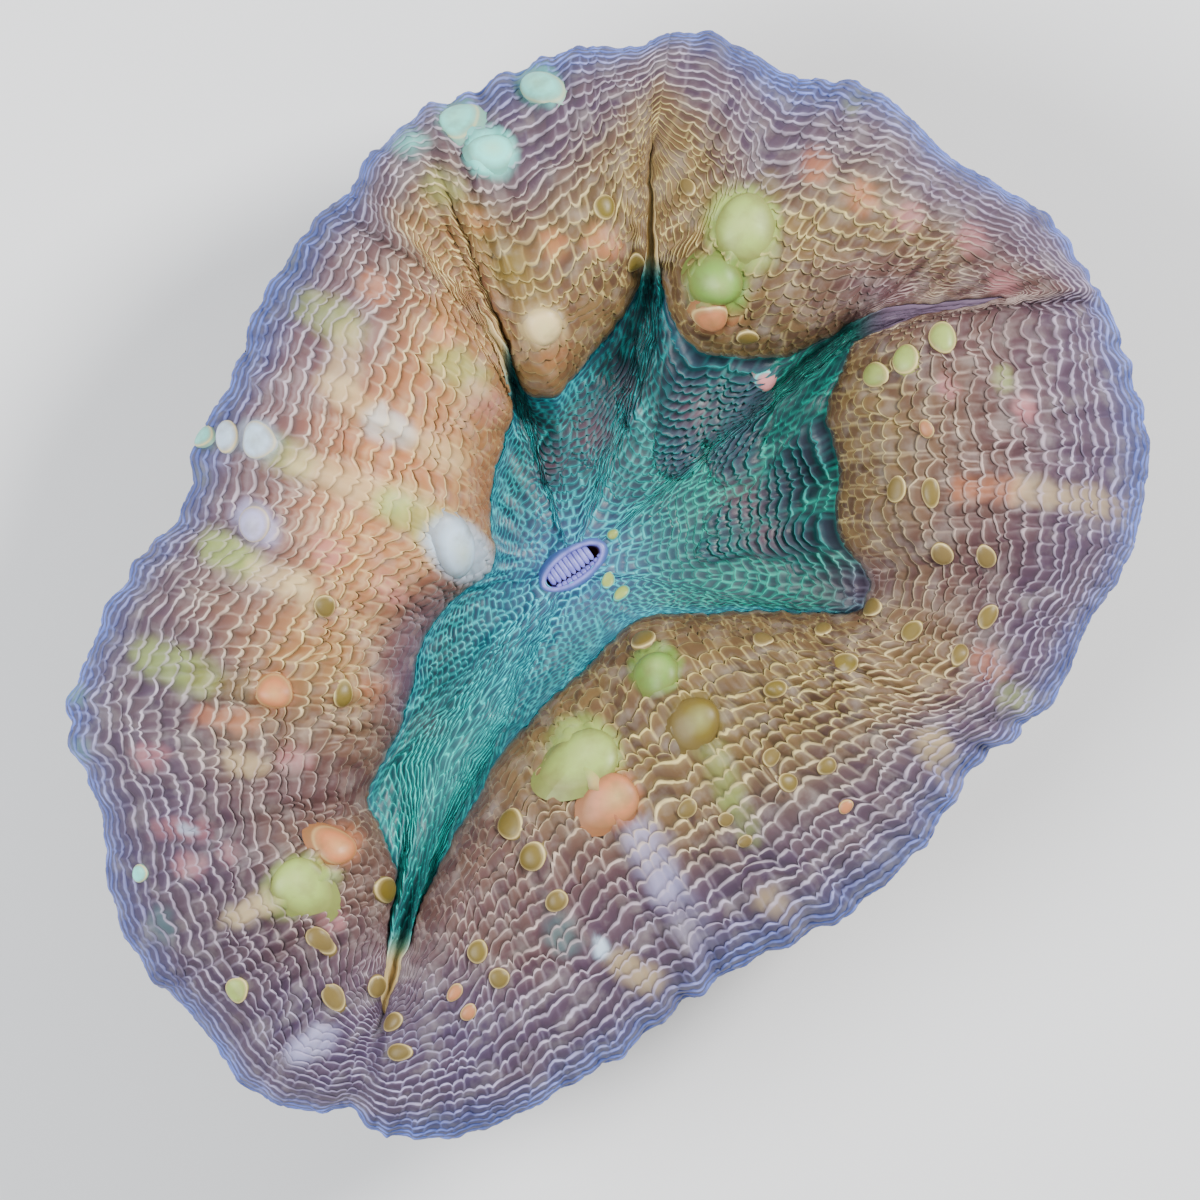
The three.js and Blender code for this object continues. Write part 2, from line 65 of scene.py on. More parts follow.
# [gate x, y, inner x, y, middle x, y, outer x, y, floor, crest, ridge], clockwise from the back fold
RAYS = [
    # end of the back fold
    [653, 325, 651, 142, 660, 88, 668, 31, 31.6, 33.0, 0.2],
    # back right lobe
    [656, 325, 653, 185, 700, 128, 713, 29, 31.5, 34.0, 0.5],
    [658, 326, 655, 228, 716, 165, 750, 49, 30.0, 35.5, 0.6],
    [661, 328, 658, 264, 722, 195, 789, 75, 27.0, 36.5, 0.7],
    [655, 362, 672, 318, 722, 225, 822, 79, 25.5, 37.0, 0.6],
    [650, 433, 697, 351, 742, 232, 852, 79, 25.0, 37.5, 1.0],
    [655, 458, 728, 357, 790, 215, 890, 95, 25.0, 37.4, 0.7],
    [676, 452, 760, 358, 832, 205, 920, 125, 25.0, 37.2, 0.8],
    [705, 439, 793, 354, 870, 218, 952, 159, 25.0, 36.6, 0.8],
    [775, 384, 826, 338, 905, 235, 985, 174, 25.5, 36.0, 0.8],
    [835, 334, 852, 321, 938, 245, 1020, 197, 27.0, 35.4, 0.8],
    [850, 328, 893, 307, 970, 250, 1048, 212, 31.5, 34.8, 0.8],
    [852, 329, 935, 305, 1003, 264, 1068, 240, 32.6, 34.8, 0.7],
    [853, 330, 975, 299, 1036, 278, 1088, 272, 32.8, 34.4, 0.6],
    [855, 331, 1010, 298, 1062, 293, 1101, 292, 33.0, 34.2, 0.3],
    [855, 337, 925, 313, 1022, 301, 1107, 301, 32.0, 33.4, 0.0],
    # fold under the shoulder of the right lobe
    [849, 343, 855, 343, 990, 308, 1112, 311, 29.5, 33.0, 0.0],
    [840, 353, 850, 350, 990, 315, 1119, 329, 26.0, 36.0, 0.1],
    # right lobe
    [785, 417, 838, 380, 985, 358, 1131, 365, 25.5, 37.0, 0.6],
    [730, 470, 826, 412, 985, 402, 1145, 408, 25.0, 37.6, 0.7],
    [704, 505, 836, 445, 988, 440, 1151, 447, 25.0, 37.8, 0.7],
    [707, 520, 842, 475, 990, 472, 1148, 480, 25.0, 37.8, 0.8],
    [703, 535, 834, 505, 992, 505, 1143, 512, 25.5, 37.4, 0.7],
    [706, 553, 840, 540, 991, 540, 1136, 545, 26.0, 36.8, 0.6],
    [719, 567, 866, 568, 990, 570, 1120, 580, 27.5, 35.6, 0.5],
    [721, 578, 870, 590, 980, 600, 1103, 602, 28.0, 35.0, 0.5],
    [717, 588, 862, 611, 968, 628, 1085, 630, 27.5, 35.2, 0.6],
    # front lobe
    [704, 591, 835, 615, 950, 658, 1074, 665, 26.5, 35.4, 0.7],
    [686, 590, 800, 613, 920, 690, 1052, 705, 25.5, 35.6, 0.8],
    [669, 589, 765, 612, 884, 700, 1012, 740, 24.5, 35.8, 0.9],
    [653, 590, 733, 613, 848, 708, 982, 758, 24.0, 36.0, 0.9],
    [638, 591, 703, 615, 818, 722, 958, 795, 23.5, 36.2, 0.9],
    [624, 590, 675, 614, 785, 740, 930, 840, 23.0, 36.4, 0.8],
    [609, 592, 645, 617, 748, 755, 890, 882, 23.0, 36.5, 0.8],
    [600, 597, 626, 628, 722, 770, 845, 920, 23.0, 36.8, 1.2],
    [587, 611, 600, 655, 688, 800, 790, 945, 23.0, 36.4, 0.8],
    [573, 624, 573, 682, 655, 828, 740, 968, 23.0, 36.2, 0.8],
    [560, 635, 547, 704, 636, 848, 705, 990, 23.0, 36.6, 1.3],
    [538, 676, 520, 733, 597, 880, 665, 1020, 23.0, 36.2, 0.8],
    [513, 717, 495, 762, 562, 905, 625, 1055, 23.5, 36.0, 0.9],
    [489, 760, 479, 798, 528, 930, 580, 1080, 24.0, 35.6, 0.7],
    [483, 760, 462, 825, 500, 955, 540, 1105, 24.5, 35.2, 0.7],
    [477, 760, 443, 860, 472, 978, 492, 1128, 25.0, 34.8, 0.7],
    [471, 760, 428, 890, 448, 1000, 452, 1140, 25.5, 34.2, 0.6],
    [464, 760, 412, 930, 425, 1020, 415, 1141, 28.0, 33.6, 0.5],
    # front fold
    [457, 760, 403, 962, 404, 1045, 385, 1138, 30.5, 33.0, 0.4],
    [450, 760, 393, 992, 384, 1062, 366, 1128, 30.8, 32.4, 0.3],
    [443, 760, 384, 1018, 364, 1070, 352, 1106, 29.8, 31.0, 0.0],
    [438, 761, 382, 992, 342, 1058, 325, 1114, 31.0, 32.6, 0.4],
    [431, 762, 388, 962, 315, 1033, 280, 1108, 31.0, 33.6, 0.6],
    # front left lobe
    [425, 763, 389, 930, 302, 1000, 238, 1085, 28.5, 34.4, 0.7],
    [418, 764, 394, 900, 296, 962, 210, 1040, 26.0, 35.0, 0.8],
    [410, 765, 396, 873, 290, 930, 180, 1004, 25.5, 35.6, 0.9],
    [403, 766, 386, 848, 284, 900, 150, 980, 25.0, 36.2, 1.0],
    [396, 767, 376, 822, 278, 868, 124, 940, 25.0, 36.2, 0.9],
    # crease between the front left lobe and the left lobe
    [389, 768, 364, 804, 262, 842, 103, 880, 25.5, 34.2, 0.0],
    # left lobe
    [432, 718, 371, 783, 240, 806, 104, 832, 25.0, 36.0, 0.9],
    [442, 695, 386, 750, 235, 766, 92, 790, 24.5, 36.8, 1.0],
    [470, 658, 401, 720, 232, 728, 70, 748, 24.0, 37.0, 1.0],
    [492, 628, 411, 690, 250, 690, 64, 702, 24.0, 37.4, 1.2],
    [495, 613, 415, 660, 250, 660, 85, 662, 24.0, 37.2, 1.0],
    [499, 599, 425, 632, 262, 628, 105, 606, 24.0, 37.2, 0.9],
    [507, 586, 441, 607, 290, 590, 135, 562, 23.5, 37.6, 1.0],
    [522, 576, 470, 586, 330, 556, 152, 541, 23.5, 37.8, 0.8],
    [531, 568, 489, 571, 345, 520, 183, 518, 23.0, 38.0, 0.7],
    [534, 560, 495, 553, 368, 490, 193, 448, 23.0, 38.4, 1.5],
    [531, 543, 488, 520, 378, 455, 208, 417, 23.0, 38.0, 0.9],
    [531, 527, 489, 488, 390, 425, 236, 368, 23.5, 38.0, 1.2],
    [536, 508, 499, 450, 402, 385, 250, 318, 23.5, 37.8, 0.8],
    [535, 474, 511, 418, 415, 350, 268, 283, 24.0, 37.8, 1.3],
    [523, 435, 511, 402, 432, 318, 298, 243, 24.5, 37.4, 0.8],
    # fold under the shoulder of the left lobe
    [514, 401, 509, 393, 448, 304, 318, 213, 25.5, 36.4, 0.1],
    [515, 397, 511, 392, 455, 299, 330, 203, 27.5, 35.0, 0.0],
    [517, 397, 496, 350, 442, 274, 340, 197, 33.2, 35.4, 0.0],
    # back left lobe
    [520, 397, 475, 300, 412, 240, 352, 190, 33.4, 35.6, 0.3],
    [522, 398, 490, 320, 430, 217, 364, 158, 33.0, 36.0, 0.6],
    [524, 400, 509, 354, 445, 205, 395, 132, 27.5, 35.8, 0.7],
    [531, 412, 528, 397, 466, 215, 428, 103, 25.5, 36.4, 0.9],
    [560, 439, 556, 397, 502, 250, 462, 97, 25.0, 36.8, 1.1],
    [576, 444, 578, 370, 535, 240, 500, 75, 25.0, 36.6, 0.8],
    [590, 428, 600, 343, 566, 215, 540, 60, 25.0, 36.4, 0.8],
    [612, 378, 625, 315, 596, 190, 577, 43, 25.5, 36.0, 0.7],
    [641, 326, 644, 272, 618, 160, 604, 45, 27.0, 35.4, 0.6],
    [645, 325, 647, 225, 632, 130, 628, 46, 30.0, 34.4, 0.5],
    [649, 325, 649, 182, 645, 105, 650, 41, 31.5, 33.4, 0.3],
]


# Camera and light: straight down on a plane 28 mm up
SENSOR_WIDTH = 36
DISTANCE = 1.1
SEEN_WIDTH = 0.120
SEEN_HEIGHT = 0.028
LIT_PLACE = (0, 0, 0.02)
camera_data = bpy.data.cameras.new("camera")
camera = bpy.data.objects.new("camera", camera_data)
bpy.context.scene.collection.objects.link(camera)
camera_data.sensor_width = SENSOR_WIDTH
camera_data.lens = SENSOR_WIDTH * DISTANCE / SEEN_WIDTH
camera_data.clip_start = 0.01
camera_data.clip_end = 20
camera.location = (-0.00075, -0.00155, SEEN_HEIGHT + DISTANCE)
camera.rotation_euler = (0, 0, 0)
bpy.context.scene.camera = camera


def area_light(name, place, size, power, colour):
    data = bpy.data.lights.new(name, "AREA")
    data.shape = "DISK"
    data.size = size
    data.energy = power
    data.color = colour
    light = bpy.data.objects.new(name, data)
    light.location = place
    light.rotation_euler = (Vector(LIT_PLACE) - Vector(place)).to_track_quat("-Z", "Y").to_euler()
    bpy.context.scene.collection.objects.link(light)


area_light("key", (0.40, 0.24, 0.44), 0.2, 6.5, (1.0, 0.98, 0.96))
area_light("fill", (-0.40, -0.10, 0.50), 0.4, 5.0, (0.97, 0.98, 1.0))
world = bpy.data.worlds.new("studio")
world.use_nodes = True
background = world.node_tree.nodes["Background"]
background.inputs["Color"].default_value = (0.95, 0.97, 1.0, 1)
background.inputs["Strength"].default_value = 0.55
bpy.context.scene.world = world


# Small helpers
def mm(points):
    """Plan points in mm from the middle of the outline."""
    return (np.asarray(points, float) - CENTRE) * np.array([0.1, -0.1])


def tenths(grid):
    """The reverse of mm: plan x and y of points in mm, in tenths from the corner."""
    return grid[..., 0] * 10 + CENTRE[0], CENTRE[1] - grid[..., 1] * 10


def smooth(low, high, x):
    t = np.clip((x - low) / (high - low), 0, 1)
    return t * t * (3 - 2 * t)


def lerp(a, b, f):
    return a + (b - a) * f


def noise(x, y, seed, scale=1.0):
    """Smooth seeded noise between -1 and 1 over the plane."""
    size = 64
    table = np.random.default_rng(seed).uniform(-1, 1, (size, size))
    x = x * scale
    y = y * scale
    xi = np.floor(x).astype(int)
    yi = np.floor(y).astype(int)
    fx = smooth(0, 1, x - xi)
    fy = smooth(0, 1, y - yi)
    a, b, c, d = (table[(xi + i) % size, (yi + j) % size] for j in (0, 1) for i in (0, 1))
    return (a * (1 - fx) + b * fx) * (1 - fy) + (c * (1 - fx) + d * fx) * fy


def spot(x, y, cx, cy, wide, high):
    """1 at a place, falling off smoothly round it."""
    return np.exp(-(((x - cx) / wide) ** 2 + ((y - cy) / high) ** 2))


def spots(x, y, places):
    """The strongest of several round spots: [x, y, reach, strength]."""
    return np.max([strength * spot(x, y, cx, cy, reach, reach) for cx, cy, reach, strength in places], axis=0)


def blurred(values, reach, width, axis):
    """Values softened along a closed axis."""
    shifts = np.arange(-reach, reach + 1)
    weights = np.exp(-0.5 * (shifts / width) ** 2)
    weights /= weights.sum()
    return sum(weight * np.roll(values, shift, axis=axis) for shift, weight in zip(shifts, weights))


def along_rays(table, per_ray, blur):
    """The ray table at evenly spaced places, straight between rays and then softened."""
    count = len(table)
    place = np.arange(count * per_ray) / per_ray
    before = np.floor(place).astype(int)
    part = (place - before)[:, None]
    straight = table[before] * (1 - part) + table[(before + 1) % count] * part
    return place, blurred(straight, int(blur * per_ray * 3), blur * per_ray, 0)


def gather(grid, index):
    """grid[k, column] at fractional row index[ring, column], straight between rows."""
    low = np.clip(np.floor(index).astype(int), 0, grid.shape[0] - 2)
    part = (index - low)[..., None]
    columns = np.arange(grid.shape[1])[None, :]
    return grid[low, columns] * (1 - part) + grid[low + 1, columns] * part


def travelled(grid):
    """The way from the first row down every column."""
    steps = np.linalg.norm(np.diff(grid, axis=0), axis=2)
    return np.vstack([np.zeros(grid.shape[1]), np.cumsum(steps, axis=0)])


def unsettled(grid):
    """The points moved a little in plan, so that no row or cell is quite regular."""
    x, y = grid[..., 0], grid[..., 1]
    shifts = [0.16 * noise(x, y, seed, 0.8) + 0.07 * noise(x, y, seed + 1, 2.1) for seed in (91, 93)]
    return grid + np.dstack([*shifts, 0 * x])


def unit(vectors):
    return vectors / (np.linalg.norm(vectors, axis=-1, keepdims=True) + 1e-12)


def normals_of(grid):
    """Unit normals of a [row, column] grid of points whose columns close round."""
    down = np.gradient(grid, axis=0)
    across = np.roll(grid, -1, axis=1) - np.roll(grid, 1, axis=1)
    return unit(np.cross(across, down))


def oval(half_length, half_width, turn, angle):
    """Points of an oval whose long axis lies at turn, one in the direction of every angle."""
    u = np.cos(angle - turn) / half_length
    v = np.sin(angle - turn) / half_width
    return (1 / np.sqrt(u**2 + v**2))[:, None] * np.column_stack([np.cos(angle), np.sin(angle)])


def capsule(x, y, x0, y0, x1, y1, radius):
    """Distance of points in mm to a segment, over its radius; segment and radius are in tenths."""
    ax, ay = mm([x0, y0])
    bx, by = mm([x1, y1])
    length = max((bx - ax) ** 2 + (by - ay) ** 2, 1e-9)
    f = np.clip(((x - ax) * (bx - ax) + (y - ay) * (by - ay)) / length, 0, 1)
    return np.hypot(x - ax - f * (bx - ax), y - ay - f * (by - ay)) / (radius * 0.1)


def linear(colour):
    """The linear light of a colour given as 0 to 255."""
    value = np.array(colour, float) / 255.0
    return np.where(value <= 0.04045, value / 12.92, ((value + 0.055) / 1.055) ** 2.4)


# Markings of the flesh
PALETTE = {
    "green": (158, 180, 92),
    "leaf": (120, 160, 70),
    "cream": (224, 200, 146),
    "white": (205, 232, 255),
    "mint": (130, 240, 226),
    "orange": (216, 132, 84),
    "pink": (222, 146, 150),
    "yellow": (112, 97, 36),
    "lilac": (186, 184, 226),
    "teal": (86, 146, 146),
}

# Soft pale swellings: [from x, y, to x, y, radius, colour, strength, rise in mm]
BLOBS = [
    [735, 218, 746, 250, 30, "green", 1.0, 1.2],
    [716, 279, 722, 291, 25, "leaf", 0.95, 1.0],
    [708, 318, 722, 326, 20, "orange", 0.55, 0.7],
    [815, 168, 815, 172, 17, "orange", 0.6, 0.2],
    [858, 196, 862, 204, 18, "orange", 0.6, 0.2],
    [905, 218, 905, 222, 16, "pink", 0.55, 0.2],
    [968, 238, 972, 242, 17, "pink", 0.5, 0.2],
    [1000, 283, 1000, 288, 16, "pink", 0.5, 0.2],
    [766, 184, 770, 196, 14, "yellow", 0.5, 0.2],
    [850, 105, 858, 100, 13, "green", 0.6, 0.4],
    [688, 36, 692, 38, 14, "yellow", 0.5, 0.4],
    [478, 215, 510, 270, 20, "yellow", 0.5, 0.4],
    [510, 270, 540, 318, 22, "yellow", 0.55, 0.5],
    [545, 326, 545, 330, 15, "white", 0.85, 0.4],
    [555, 350, 562, 372, 19, "orange", 0.4, 0.3],
    [485, 150, 495, 160, 22, "mint", 1.0, 1.0],
    [452, 114, 468, 128, 18, "mint", 0.8, 0.8],
    [532, 80, 544, 92, 18, "mint", 0.8, 0.7],
    [402, 138, 410, 142, 18, "mint", 0.7, 0.7],
    [515, 76, 520, 78, 12, "white", 0.4, 0.3],
    [600, 243, 606, 248, 18, "orange", 0.6, 0.3],
    [553, 243, 556, 248, 15, "orange", 0.55, 0.2],
    [440, 188, 448, 194, 20, "green", 0.4, 0.4],
    [480, 222, 482, 228, 14, "orange", 0.35, 0.1],
    [204, 437, 206, 439, 15, "mint", 0.6, 0.9],
    [227, 437, 229, 438, 15, "white", 0.8, 0.8],
    [260, 440, 264, 442, 18, "white", 0.95, 0.9],
    [275, 449, 302, 466, 20, "green", 0.6, 0.6],
    [302, 466, 390, 500, 20, "cream", 0.6, 0.5],
    [388, 503, 400, 507, 16, "green", 0.6, 0.3],
    [400, 507, 442, 532, 25, "green", 0.6, 0.6],
    [446, 540, 480, 561, 23, "white", 0.95, 0.9],
    [202, 474, 204, 476, 12, "green", 0.6, 0.6],
    [308, 306, 350, 330, 22, "green", 0.55, 0.6],
    [350, 340, 346, 385, 20, "cream", 0.45, 0.3],
    [380, 422, 400, 434, 17, "white", 0.75, 0.4],
    [330, 385, 385, 425, 16, "cream", 0.5, 0.3],
    [400, 434, 455, 462, 16, "cream", 0.5, 0.3],
    [448, 362, 476, 386, 21, "green", 0.55, 0.5],
    [480, 396, 503, 414, 19, "pink", 0.45, 0.5],
    [375, 288, 378, 292, 18, "orange", 0.65, 0.2],
    [444, 333, 446, 338, 12, "orange", 0.7, 0.2],
    [250, 515, 266, 530, 18, "lilac", 0.85, 0.6],
    [216, 546, 246, 562, 21, "green", 0.8, 0.6],
    [262, 572, 302, 586, 16, "cream", 0.55, 0.3],
    [302, 584, 316, 600, 15, "cream", 0.5, 0.3],
    [326, 545, 336, 555, 17, "pink", 0.5, 0.1],
    [385, 585, 395, 595, 14, "pink", 0.45, 0.1],
    [150, 655, 205, 678, 22, "green", 0.65, 0.7],
    [205, 676, 250, 690, 18, "yellow", 0.4, 0.4],
    [270, 692, 282, 692, 18, "orange", 0.6, 0.5],
    [372, 692, 398, 690, 15, "orange", 0.35, 0.3],
    [205, 715, 250, 721, 13, "orange", 0.5, 0.2],
    [148, 754, 158, 756, 15, "pink", 0.55, 0.3],
    [236, 760, 262, 764, 13, "cream", 0.5, 0.3],
    [292, 757, 304, 759, 14, "pink", 0.55, 0.3],
    [165, 829, 205, 829, 13, "pink", 0.5, 0.3],
    [186, 828, 194, 829, 8, "white", 0.6, 0.1],
    [186, 864, 196, 866, 13, "pink", 0.6, 0.3],
    [228, 850, 232, 852, 13, "pink", 0.4, 0.2],
    [74, 692, 78, 694, 12, "mint", 1.0, 0.6],
    [80, 748, 84, 752, 11, "mint", 0.6, 0.5],
    [282, 253, 288, 257, 15, "green", 0.6, 0.6],
    [147, 547, 149, 549, 10, "cream", 0.5, 0.4],
    [284, 894, 318, 872, 24, "green", 1.0, 1.0],
    [236, 916, 274, 897, 14, "cream", 0.8, 0.5],
    [330, 850, 346, 842, 19, "orange", 0.75, 0.6],
    [160, 922, 162, 930, 18, "teal", 0.55, 0.2],
    [300, 1050, 324, 1036, 16, "lilac", 0.7, 0.5],
    [334, 912, 336, 918, 14, "pink", 0.5, 0.2],
    [566, 742, 590, 774, 25, "green", 1.0, 1.3],
    [600, 782, 618, 802, 22, "orange", 0.55, 1.0],
    [640, 836, 666, 880, 23, "lilac", 0.55, 0.8],
    [668, 884, 700, 940, 20, "lilac", 0.25, 0.5],
    [653, 666, 657, 670, 20, "green", 0.9, 1.0],
    [694, 718, 700, 726, 21, "yellow", 0.9, 0.9],
    [712, 752, 730, 790, 17, "green", 0.45, 0.6],
    [730, 800, 750, 832, 15, "green", 0.35, 0.4],
    [598, 942, 602, 950, 9, "white", 0.9, 0.3],
    [622, 962, 650, 980, 17, "cream", 0.55, 0.3],
    [560, 928, 566, 940, 18, "teal", 0.35, 0.0],
    [930, 742, 956, 784, 19, "cream", 0.55, 0.6],
    [980, 660, 990, 670, 18, "orange", 0.45, 0.3],
    [768, 900, 798, 924, 17, "cream", 0.4, 0.3],
    [1012, 696, 1020, 702, 18, "green", 0.4, 0.2],
    [958, 490, 1010, 490, 16, "orange", 0.5, 0.4],
    [1020, 491, 1120, 508, 16, "cream", 0.4, 0.3],
    [1018, 407, 1022, 413, 13, "pink", 0.75, 0.3],
    [942, 388, 948, 392, 13, "pink", 0.5, 0.1],
    [1000, 378, 1002, 382, 13, "green", 0.5, 0.3],
]

# Crisp oval beads: [x, y, length along the row, width across it, colour, strength]
BEADS = [
    [742, 228, 60, 62, "green", 1.0],
    [718, 288, 50, 50, "leaf", 0.95],
    [584, 754, 58, 64, "green", 1.0],
    [614, 798, 46, 48, "orange", 0.5],
    [655, 668, 42, 42, "leaf", 0.95],
    [696, 721, 46, 46, "yellow", 0.95],
    [303, 882, 46, 56, "green", 1.0],
    [340, 845, 38, 36, "orange", 0.7],
    [490, 155, 42, 44, "mint", 1.0],
    [459, 120, 34, 40, "mint", 0.7],
    [539, 86, 36, 38, "mint", 0.7],
    [545, 328, 38, 40, "cream", 1.0],
    [262, 440, 34, 40, "white", 0.8],
    [228, 437, 28, 30, "white", 0.7],
    [203, 437, 24, 28, "mint", 0.6],
    [472, 560, 44, 60, "white", 0.75],
    [257, 523, 36, 34, "lilac", 0.8],
    [275, 692, 36, 36, "orange", 0.6],
    [712, 322, 34, 30, "orange", 0.45],
    [747, 338, 26, 16, "yellow", 0.7],
    [689, 190, 22, 15, "yellow", 0.35],
    [605, 209, 25, 22, "yellow", 1.0],
    [637, 262, 24, 18, "yellow", 0.9],
    [327, 605, 22, 22, "yellow", 0.7],
    [345, 695, 28, 19, "yellow", 0.85],
    [388, 888, 28, 26, "yellow", 1.0],
    [240, 987, 25, 24, "green", 0.9],
    [141, 873, 18, 16, "mint", 0.9],
    [335, 995, 28, 23, "yellow", 0.5],
    [322, 938, 30, 22, "yellow", 0.5],
    [380, 985, 26, 20, "yellow", 0.5],
    [393, 1020, 26, 16, "yellow", 0.4],
    [400, 1050, 26, 18, "yellow", 0.6],
    [643, 640, 26, 18, "yellow", 0.7],
    [512, 823, 32, 24, "yellow", 0.9],
    [533, 854, 32, 24, "yellow", 0.8],
    [557, 900, 26, 20, "yellow", 0.6],
    [478, 950, 25, 20, "yellow", 0.8],
    [500, 976, 22, 20, "yellow", 0.7],
    [455, 990, 20, 14, "orange", 0.3],
    [470, 1010, 20, 14, "orange", 0.25],
    [845, 662, 28, 19, "yellow", 0.95],
    [775, 687, 24, 18, "yellow", 0.8],
    [762, 640, 20, 15, "yellow", 0.4],
    [770, 757, 22, 16, "yellow", 0.5],
    [787, 782, 20, 19, "yellow", 0.7],
    [825, 765, 20, 18, "yellow", 0.6],
    [845, 805, 16, 13, "orange", 0.4],
    [725, 818, 17, 14, "yellow", 0.4],
    [687, 808, 22, 18, "yellow", 0.5],
    [745, 838, 15, 13, "yellow", 0.4],
    [910, 630, 24, 18, "yellow", 0.75],
    [985, 616, 26, 18, "yellow", 0.7],
    [957, 655, 23, 17, "yellow", 0.6],
    [868, 607, 20, 17, "yellow", 0.5],
    [822, 628, 18, 13, "yellow", 0.5],
    [873, 376, 27, 25, "green", 0.7],
    [903, 360, 33, 24, "green", 0.9],
    [940, 340, 33, 28, "green", 0.8],
    [895, 491, 27, 19, "yellow", 0.55],
    [928, 494, 30, 19, "yellow", 0.65],
    [940, 554, 25, 21, "yellow", 0.25],
    [983, 556, 27, 19, "yellow", 0.4],
    [923, 430, 20, 14, "orange", 0.1],
]

# Beads on the disc, longest along the slit
DISC_BEADS = [
    [609, 583, 18, 12, "green", 0.85],
    [620, 593, 22, 12, "green", 0.85],
    [612, 534, 13, 11, "green", 0.6],
    [768, 381, 26, 14, "pink", 0.8],
]
DISC_BEAD_TURN = math.radians(50)

# Stacked pleats of the disc: [from x, y, to x, y, half width, strength]
PLEATS = [
    [690, 345, 680, 455, 24, 1.0],
    [752, 372, 736, 458, 27, 1.0],
    [716, 372, 712, 430, 16, 0.7],
    [822, 440, 776, 500, 26, 1.0],
    [776, 498, 725, 520, 16, 0.8],
    [836, 530, 768, 540, 20, 1.0],
    [768, 538, 712, 550, 13, 0.7],
    [800, 560, 860, 585, 13, 0.5],
    [624, 365, 630, 415, 12, 0.7],
    [598, 395, 592, 445, 20, 0.5],
    [560, 440, 546, 468, 15, 0.5],
]

# Darker flesh on the mantle and reddish spots on the disc: [x, y, reach, strength]
DUSKY = [
    [235, 925, 95, 1.0],
    [990, 600, 75, 0.75],
    [310, 780, 70, 0.6],
    [770, 715, 105, 0.7],
    [985, 250, 70, 0.5],
    [700, 930, 80, 0.3],
]
DISC_SPOTS = [
    [745, 500, 24, 1.0],
    [765, 536, 17, 1.0],
    [625, 390, 14, 1.0],
    [590, 430, 22, 1.0],
    [551, 462, 14, 1.0],
    [695, 410, 20, 1.0],
    [430, 728, 13, 1.0],
]


def blob_layers(x, y):
    """Colour, cover and rise of the soft swellings at plan points in mm."""
    colour = np.zeros(x.shape + (3,))
    cover = np.zeros(x.shape)
    rise = np.zeros(x.shape)
    wander_x = x + 0.35 * noise(x, y, 71, 0.9)
    wander_y = y + 0.35 * noise(x, y, 72, 0.9)
    for x0, y0, x1, y1, radius, name, strength, height in BLOBS:
        lo = mm([min(x0, x1) - 2 * radius, max(y0, y1) + 2 * radius])
        hi = mm([max(x0, x1) + 2 * radius, min(y0, y1) - 2 * radius])
        near = (x > lo[0]) & (x < hi[0]) & (y > lo[1]) & (y < hi[1])
        q = capsule(wander_x[near], wander_y[near], x0, y0, x1, y1, radius)
        most = 0.62 if name in ("orange", "pink") else 0.85
        here = most * strength * (1 - smooth(0.3, 1.3, q))
        rise[near] = np.maximum(rise[near], height * np.exp(-1.1 * q * q))
        old = cover[near]
        total = here + old * (1 - here)
        mix = (here / np.maximum(total, 1e-6))[:, None]
        colour[near] = colour[near] * (1 - mix) + linear(PALETTE[name]) * mix
        cover[near] = total
    return colour, cover, rise


def bigness(long, wide):
    """0 for a small bead, 1 for one of the big soft ones."""
    return min(1.0, max(0.0, (min(long, wide) - 28) / 14))


def open_disc(px, py):
    """1 where the teal disc shows, 0 deep in the closed folds."""
    shown = smooth(255, 285, py) * (1 - smooth(925, 965, py))
    shown = shown * (1 - smooth(845, 885, px) * (1 - smooth(345, 375, py)))
    return shown * (1 - (1 - smooth(500, 516, px)) * (1 - smooth(392, 400, py)))


def pleats(x, y):
    """How far into a pleat a point is, from 0 at its sides to 1 on its line."""
    found = np.zeros(x.shape)
    for x0, y0, x1, y1, half_width, strength in PLEATS:
        q = capsule(x, y, x0, y0, x1, y1, half_width)
        found = np.maximum(found, strength * np.sqrt(np.clip(1 - q * q, 0, 1)))
    return found


# Rows of cells: each row has rings of points at these shares of its width
WITHIN = [0.0, 0.07, 0.15, 0.38, 0.68, 0.84, 0.94]
CELL_WIDTH_SPREAD = 0.36


def cells_along(rows_points, mean_width, seed):
    """For each row of points: cell number and place across the cell from -1 to 1."""
    rng = np.random.default_rng(seed)
    number = np.zeros(rows_points.shape[:2], int)
    across = np.zeros(rows_points.shape[:2])
    first = 0
    for r, points in enumerate(rows_points):
        run = np.concatenate([[0], np.cumsum(np.linalg.norm(np.diff(points, axis=0), axis=1))])
        total = run[-1] + np.linalg.norm(points[0] - points[-1])
        count = max(8, int(total / mean_width))
        widths = np.exp(rng.normal(0, CELL_WIDTH_SPREAD, count))
        edges = np.concatenate([[0], np.cumsum(widths)]) / widths.sum() * total
        cell = np.clip(np.searchsorted(edges, run, side="right") - 1, 0, count - 1)
        number[r] = first + cell
        across[r] = 2 * (run - edges[cell]) / (edges[cell + 1] - edges[cell]) - 1
        first += count
    return number, across, first


